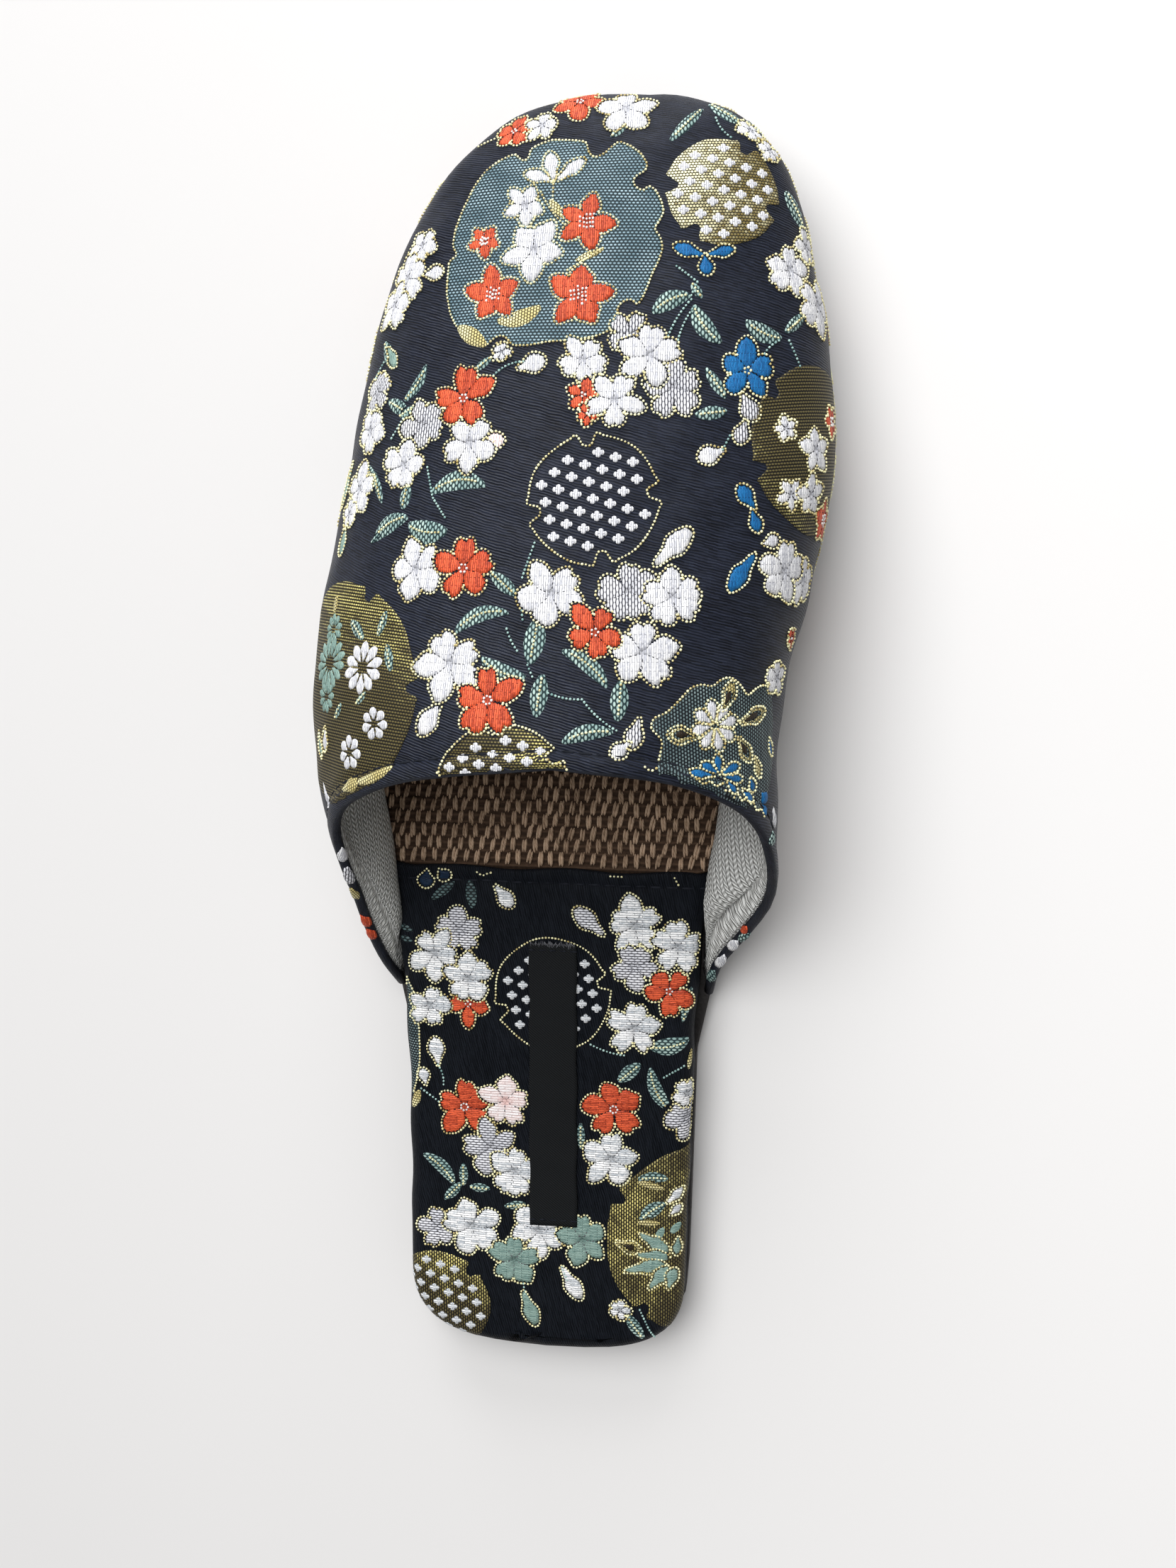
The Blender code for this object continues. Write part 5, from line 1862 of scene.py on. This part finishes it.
def unitTree(name, alongLine):
    inputs = {key: "NodeSocketFloat" for key in ("length", "width", "height", "spacing", "vary")}
    inputs.update({"rounds": "NodeSocketInt", "finish": "NodeSocketMaterial"})
    row = NodeRow(name, inputs)
    given = row.given
    if alongLine:
        curve = row.wire("GeometryNodeMeshToCurve", None, {"Mesh": given["Geometry"]})
        values = {"Curve": curve, "Length": given["spacing"]}
        points = row.wire("GeometryNodeResampleCurve", {"mode": "LENGTH"}, values)
        lay = row.wire("GeometryNodeInputTangent")
    else:
        points = given["Geometry"]
        lay = row.named("lay")
    axes = {"primary_axis": "X", "secondary_axis": "Z"}
    values = {"Primary Axis": lay, "Secondary Axis": row.named("up")}
    turn = row.wire("FunctionNodeAxesToRotation", axes, values)
    values = {"Radius": 0.5, "Subdivisions": given["rounds"]}
    unit = row.wire("GeometryNodeMeshIcoSphere", None, values)
    values = {0: given["length"], 1: given["width"], 2: given["height"]}
    size = row.wire("ShaderNodeCombineXYZ", None, values)
    low = row.wire("ShaderNodeMath", {"operation": "SUBTRACT"}, {0: 1.0, 1: given["vary"]})
    high = row.wire("ShaderNodeMath", {"operation": "ADD"}, {0: 1.0, 1: given["vary"]})
    values = {2: low, 3: high, "Seed": 7}
    jitter = row.wire("FunctionNodeRandomValue", {"data_type": "FLOAT"}, values, 1)
    grown = row.wire("ShaderNodeVectorMath", {"operation": "SCALE"}, {0: size, "Scale": jitter})
    values = {"Points": points, "Instance": unit, "Rotation": turn, "Scale": grown}
    copies = row.wire("GeometryNodeInstanceOnPoints", None, values)
    real = row.wire("GeometryNodeRealizeInstances", None, {0: copies})
    smooth = row.wire("GeometryNodeSetShadeSmooth", None, {"Geometry": real})
    values = {"Geometry": smooth, "Material": given["finish"]}
    painted = row.wire("GeometryNodeSetMaterial", None, values)
    row.tree.links.new(painted, row.result)
    return row


lineTree = unitTree("unitsAlongLine", True)
pointTree = unitTree("unitsOnPoints", False)


def setUnits(name, row, points, edges, ups, lays, sizes, finish):
    mesh = bpy.data.meshes.new(name + "Path")
    mesh.from_pydata([tuple(p) for p in points], edges, [])
    for label, vectors in (("up", ups), ("lay", lays)):
        if vectors:
            layer = mesh.attributes.new(label, "FLOAT_VECTOR", "POINT")
            layer.data.foreach_set("vector", np.array([tuple(v) for v in vectors], dtype=np.float32).ravel())
    path = bpy.data.objects.new(name + "Path", mesh)
    bpy.context.scene.collection.objects.link(path)
    modifier = path.modifiers.new("units", "NODES")
    modifier.node_group = row.tree
    for key, value in sizes.items():
        modifier[row.keys[key]] = value
    modifier[row.keys["finish"]] = finishes[finish]
    graph = bpy.context.evaluated_depsgraph_get()
    made = bpy.data.meshes.new_from_object(path.evaluated_get(graph))
    bpy.data.objects.remove(path)
    obj = bpy.data.objects.new(name, made)
    made.name = name
    bpy.context.scene.collection.objects.link(obj)
    return obj


def unitSizes(vary=0.06, rounds=2, **lengths):
    return {**{key: value * mm for key, value in lengths.items()}, "vary": vary, "rounds": rounds}


def chain(runs):  # points, edges and normals of several separate lines
    points, edges, ups = [], [], []
    for run in runs:
        start = len(points)
        points += [p for p, _ in run]
        ups += [n for _, n in run]
        edges += [(start + i, start + i + 1) for i in range(len(run) - 1)]
    return points, edges, ups


for (thread, turned), runs in outlines.items():
    points, edges, ups = chain(runs)
    share = figure["slitShare"] if thread in ("darkThread", "greyThread") else 1.0
    wide, high = figure["beadWidth"] * share, figure["beadHeight"] * share
    bead = {"length": figure["beadLength"], "width": wide, "height": high, "spacing": figure["beadPitch"]}
    sizes = unitSizes(vary=0.14, rounds=1, **bead)
    label = clothName[turned] + "Outlines_" + thread
    obj = setUnits(label, lineTree, points, edges, ups, None, sizes, thread)
    figureObjects.append((obj, turned))
    print(obj.name, len(obj.data.polygons), "faces")


# Topstitching along the throat and the heel cover's front hem.
stitch = {"length": 2.5, "width": 0.50, "height": 0.42, "spacing": 3.1}
stitchLift = 0.02


def laidOn(tree, point, lift):  # the nearest spot of the cloth, lifted a little, and its normal
    near, normal, _, _ = tree.find_nearest(point)
    return near + normal * lift * mm, normal


halves = []
for side in (lateral, medial):
    half = []
    for share in evenly(0.06, 1.0, 90):
        y = throat[side](share) + upper["stitchIn"] * edgeStretch(side, share)
        half.append(laidOn(vampCloth.tree, place(*flankPoint(y, side, share)), stitchLift))
    halves.append(half)
coverRun = []
for share in evenly(0.015, 0.985, 60):
    y = sole["coverFront"] - cover["stitchIn"]
    x = planAcross(y, lateral) + (planAcross(y, medial) - planAcross(y, lateral)) * share
    coverRun.append(laidOn(heelCloth.tree, place(x, y, sole["coverTop"]), stitchLift))
points, edges, ups = chain([halves[0] + halves[1][-2::-1], coverRun])
hemStitches = setUnits("hemStitches", lineTree, points, edges, ups, None, unitSizes(**stitch), "darkThread")


# Woven tape on the heel.
def tapeSheet():
    sheet = {"points": [], "weave": [], "faces": []}
    for k in range(tape["rows"] + 1):
        y = tape["rear"] + (tape["front"] - tape["rear"]) * k / tape["rows"]
        ends = min(y - tape["rear"], tape["front"] - y)
        for i in range(tape["columns"] + 1):
            t = 2 * i / tape["columns"] - 1
            x = tape["across"] + t * (tape["wide"] / 2 - tape["sway"] * sin(y * 0.5) * ramp(ends, 1.0, 4.0))
            near, _, _, _ = heelCloth.tree.find_nearest(place(x, y, sole["coverTop"] + 0.5))
            puff = tape["lift"] + tape["puff"] * ramp(ends, 1.0, 6.0) * (1 - t * t) + tape["edgeCurl"] * t**8
            puff += tape["wave"] * sin(y * 0.9 + t) * ramp(ends, 1.0, 4.0)
            sheet["points"].append(near + Vector((0, 0, (tape["thick"] + puff) * mm)))
            sheet["weave"].append((x, y))
    step = tape["columns"] + 1
    for k in range(tape["rows"]):
        for i in range(tape["columns"]):
            a = k * step + i
            sheet["faces"].append((a, a + 1, a + step + 1, a + step))
    rim = list(range(step)) + [k * step + step - 1 for k in range(1, tape["rows"])]
    rim += [tape["rows"] * step + i for i in range(step - 1, -1, -1)]
    rim += [k * step for k in range(tape["rows"] - 1, 0, -1)]
    sheet["throat"] = [(rim[0], rim[1])]
    sheet["feather"] = rim[1:]
    sheet["normals"] = pointNormals(sheet["points"], sheet["faces"])
    return sheet


tapeCloth = tapeSheet()
tapeCount = len(tapeCloth["points"])
ribbon = closedShell("wovenTape", tapeCloth, [0.0] * tapeCount, [tape["thick"]] * tapeCount, "ribbon", 0.0)
tapeTree = BVHTree.FromPolygons(tapeCloth["points"], tapeCloth["faces"])
tapeStitch = {"length": 1.5, "width": 0.34, "height": 0.3, "spacing": 1.9}
tapeThread = {"length": 1.7, "width": 0.17, "height": 0.17, "spacing": 0.0}


def tapeSpots(y, edge, count, lift):  # spots from side to side of the tape
    across = evenly(tape["across"] - tape["wide"] / 2 + edge, tape["across"] + tape["wide"] / 2 - edge, count)
    return [laidOn(tapeTree, place(x, y, sole["coverTop"] + 1.0), lift) for x in across]


seams = (tape["rear"] + tape["stitchIn"], tape["front"] - tape["stitchIn"])
points, edges, ups = chain([tapeSpots(y, 0.5, 9, 0.03) for y in seams])
tapeSizes = unitSizes(**tapeStitch)
tapeStitches = setUnits("tapeStitches", lineTree, points, edges, ups, None, tapeSizes, "darkThread")
frayLuck = Random(9)
points, _, ups = chain([tapeSpots(tape["front"], 0.3, 34, 0.05)])
lays = []
for _ in points:  # loose threads of the cut front end
    lean = frayLuck.uniform(-0.8, 0.8)
    lays.append(Vector((sin(lean), cos(lean), frayLuck.uniform(0.0, 0.5))))
fraySizes = unitSizes(vary=0.4, rounds=1, **tapeThread)
tapeFray = setUnits("tapeFray", pointTree, points, [], ups, lays, fraySizes, "greyThread")


# Plant-fibre weave of the forefoot: staggered nubs of yarn over dark cross yarns.
jute = {
    "columns": (-32, 48),  # more than fit, and those past the edge are left out
    "columnPitch": 1.13,
    "rowPitch": 5.45,
    "length": 3.15,
    "width": 0.66,
    "height": 1.45,
    "lean": 0.09,
    "apart": 0.25,  # between the middle of a nub and either of its strands
    "twist": 0.05,
    "columnStray": 0.16,
    "rowStray": 0.05,
    "leanStray": 0.16,
    "endStray": 0.25,
    "heightStray": 0.10,
    "tilt": 0.06,
    "lift": 0.15,
    "lower": 0.25,  # every other yarn lies a little lower
    "from": 106.4,
    "first": 1.7,
    "to": 190.0,
    "edge": 0.7,
}


def jutePoints():
    luck = Random(4)
    points, ups, lays = [], [], []
    for column in range(*jute["columns"]):
        for row in range(int((jute["to"] - jute["from"]) / jute["rowPitch"]) + 1):
            x = (column + jute["columnStray"] * luck.uniform(-1, 1)) * jute["columnPitch"]
            step = row + 0.5 * (column % 2) + jute["rowStray"] * luck.uniform(-1, 1)
            y = jute["from"] + jute["first"] + step * jute["rowPitch"]
            lean = jute["lean"] + luck.uniform(-jute["leanStray"], jute["leanStray"])
            room = jute["edge"]
            if planAcross(y, lateral) + room < x < planAcross(y, medial) - room and y < jute["to"]:
                base = sole["footbedTop"] + toeLift(y) + jute["lift"] - jute["lower"] * (column % 2)
                for strand in (-1, 1):
                    turn = lean + jute["twist"] * luck.uniform(-1, 1)
                    height = base + jute["heightStray"] * luck.uniform(-1, 1)
                    end = y + jute["endStray"] * luck.uniform(-1, 1)
                    points.append(place(x + strand * jute["apart"], end, height))
                    ups.append(Vector((0, 0, 1)))
                    lays.append(Vector((sin(turn), cos(turn), jute["tilt"] * luck.uniform(-1, 1))))
    return points, ups, lays


points, ups, lays = jutePoints()
juteYarn = {key: jute[key] for key in ("length", "width", "height")}
juteSizes = unitSizes(vary=0.15, spacing=0.0, **juteYarn)
juteNubs = setUnits("juteNubs", pointTree, points, [], ups, lays, juteSizes, "jute")
print("jute nubs:", len(points))

for name, finish in (("outsole", "outsole"), ("footbed", "weft")):
    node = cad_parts[name]
    node.data.materials.clear()
    node.data.materials.append(finishes[finish])

# Every piece rides on the one body.
for piece, slotName in (
    (brocade, "upper"), (lining, "upper"), (heelCover, "heel_cover"), (hemStitches, "upper"),
    (ribbon, "woven_tape"), (tapeStitches, "woven_tape"), (tapeFray, "woven_tape"), (juteNubs, "footbed"),
):
    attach(piece, "root")
for piece, turned in figureObjects:
    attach(piece, "root")
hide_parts("upper")
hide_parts("heel_cover")
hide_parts("woven_tape")


# Stage: pale floor, soft lights from above and beyond the toe, a weak fill, and the photo's camera.
stage = {
    "floorSize": 3.0,
    "keyPlace": (-0.40, 0.90, 1.70),
    "keySize": 1.7,
    "keyPower": 42.0,
    "toePlace": (-0.30, 2.30, 0.62),
    "toeSize": 1.7,
    "toePower": 48.0,
    "fillPlace": (0.8, -0.5, 1.0),
    "fillSize": 1.2,
    "fillPower": 0.6,
    "worldLight": 0.26,
    "zoom": 1.38,
    "aimAcross": 8.0,
    "aimAlong": 152.0,
    "rise": -0.085,
}
floorMesh = bpy.data.meshes.new("floor")
half = stage["floorSize"]
corners = [(-half, -half, 0), (half, -half, 0), (half, half, 0), (-half, half, 0)]
floorMesh.from_pydata(corners, [], [(0, 1, 2, 3)])
floorMesh.materials.append(finishes["floor"])
floor = bpy.data.objects.new("floor", floorMesh)
bpy.context.scene.collection.objects.link(floor)


def addLight(name, spot, size, power):
    data = bpy.data.lights.new(name, "AREA")
    data.shape = "DISK"
    data.size = size
    data.energy = power
    lamp = bpy.data.objects.new(name, data)
    lamp.location = spot
    lamp.rotation_euler = (-Vector(spot)).to_track_quat("-Z", "Y").to_euler()
    bpy.context.scene.collection.objects.link(lamp)


for name in ("key", "toe", "fill"):
    addLight(name + "Light", stage[name + "Place"], stage[name + "Size"], stage[name + "Power"])
world = bpy.data.worlds.new("studio")
world.use_nodes = True
world.node_tree.nodes["Background"].inputs["Color"].default_value = (1.0, 0.99, 0.98, 1.0)
world.node_tree.nodes["Background"].inputs["Strength"].default_value = stage["worldLight"]
bpy.context.scene.world = world
bpy.context.scene.view_settings.view_transform = "Standard"

cameraData = bpy.data.cameras.new("photoCamera")
cameraData.sensor_fit = "AUTO"
cameraData.sensor_width = photo["sensor"]
cameraData.lens = photo["focalPixels"] / photo["height"] * photo["sensor"] * stage["zoom"]
cameraData.shift_y = stage["rise"]
cameraData.clip_start = 0.01
camera = bpy.data.objects.new("photoCamera", cameraData)
forward = (place(stage["aimAcross"], stage["aimAlong"], photo["insoleTop"]) - photoEye).normalized()
upwards = (Vector((0, 1, 0)) - forward * forward.y).normalized()
turn = Matrix((forward.cross(upwards), upwards, -forward)).transposed().to_4x4()
camera.matrix_world = Matrix.Translation(photoEye) @ turn
bpy.context.scene.collection.objects.link(camera)
bpy.context.scene.camera = camera
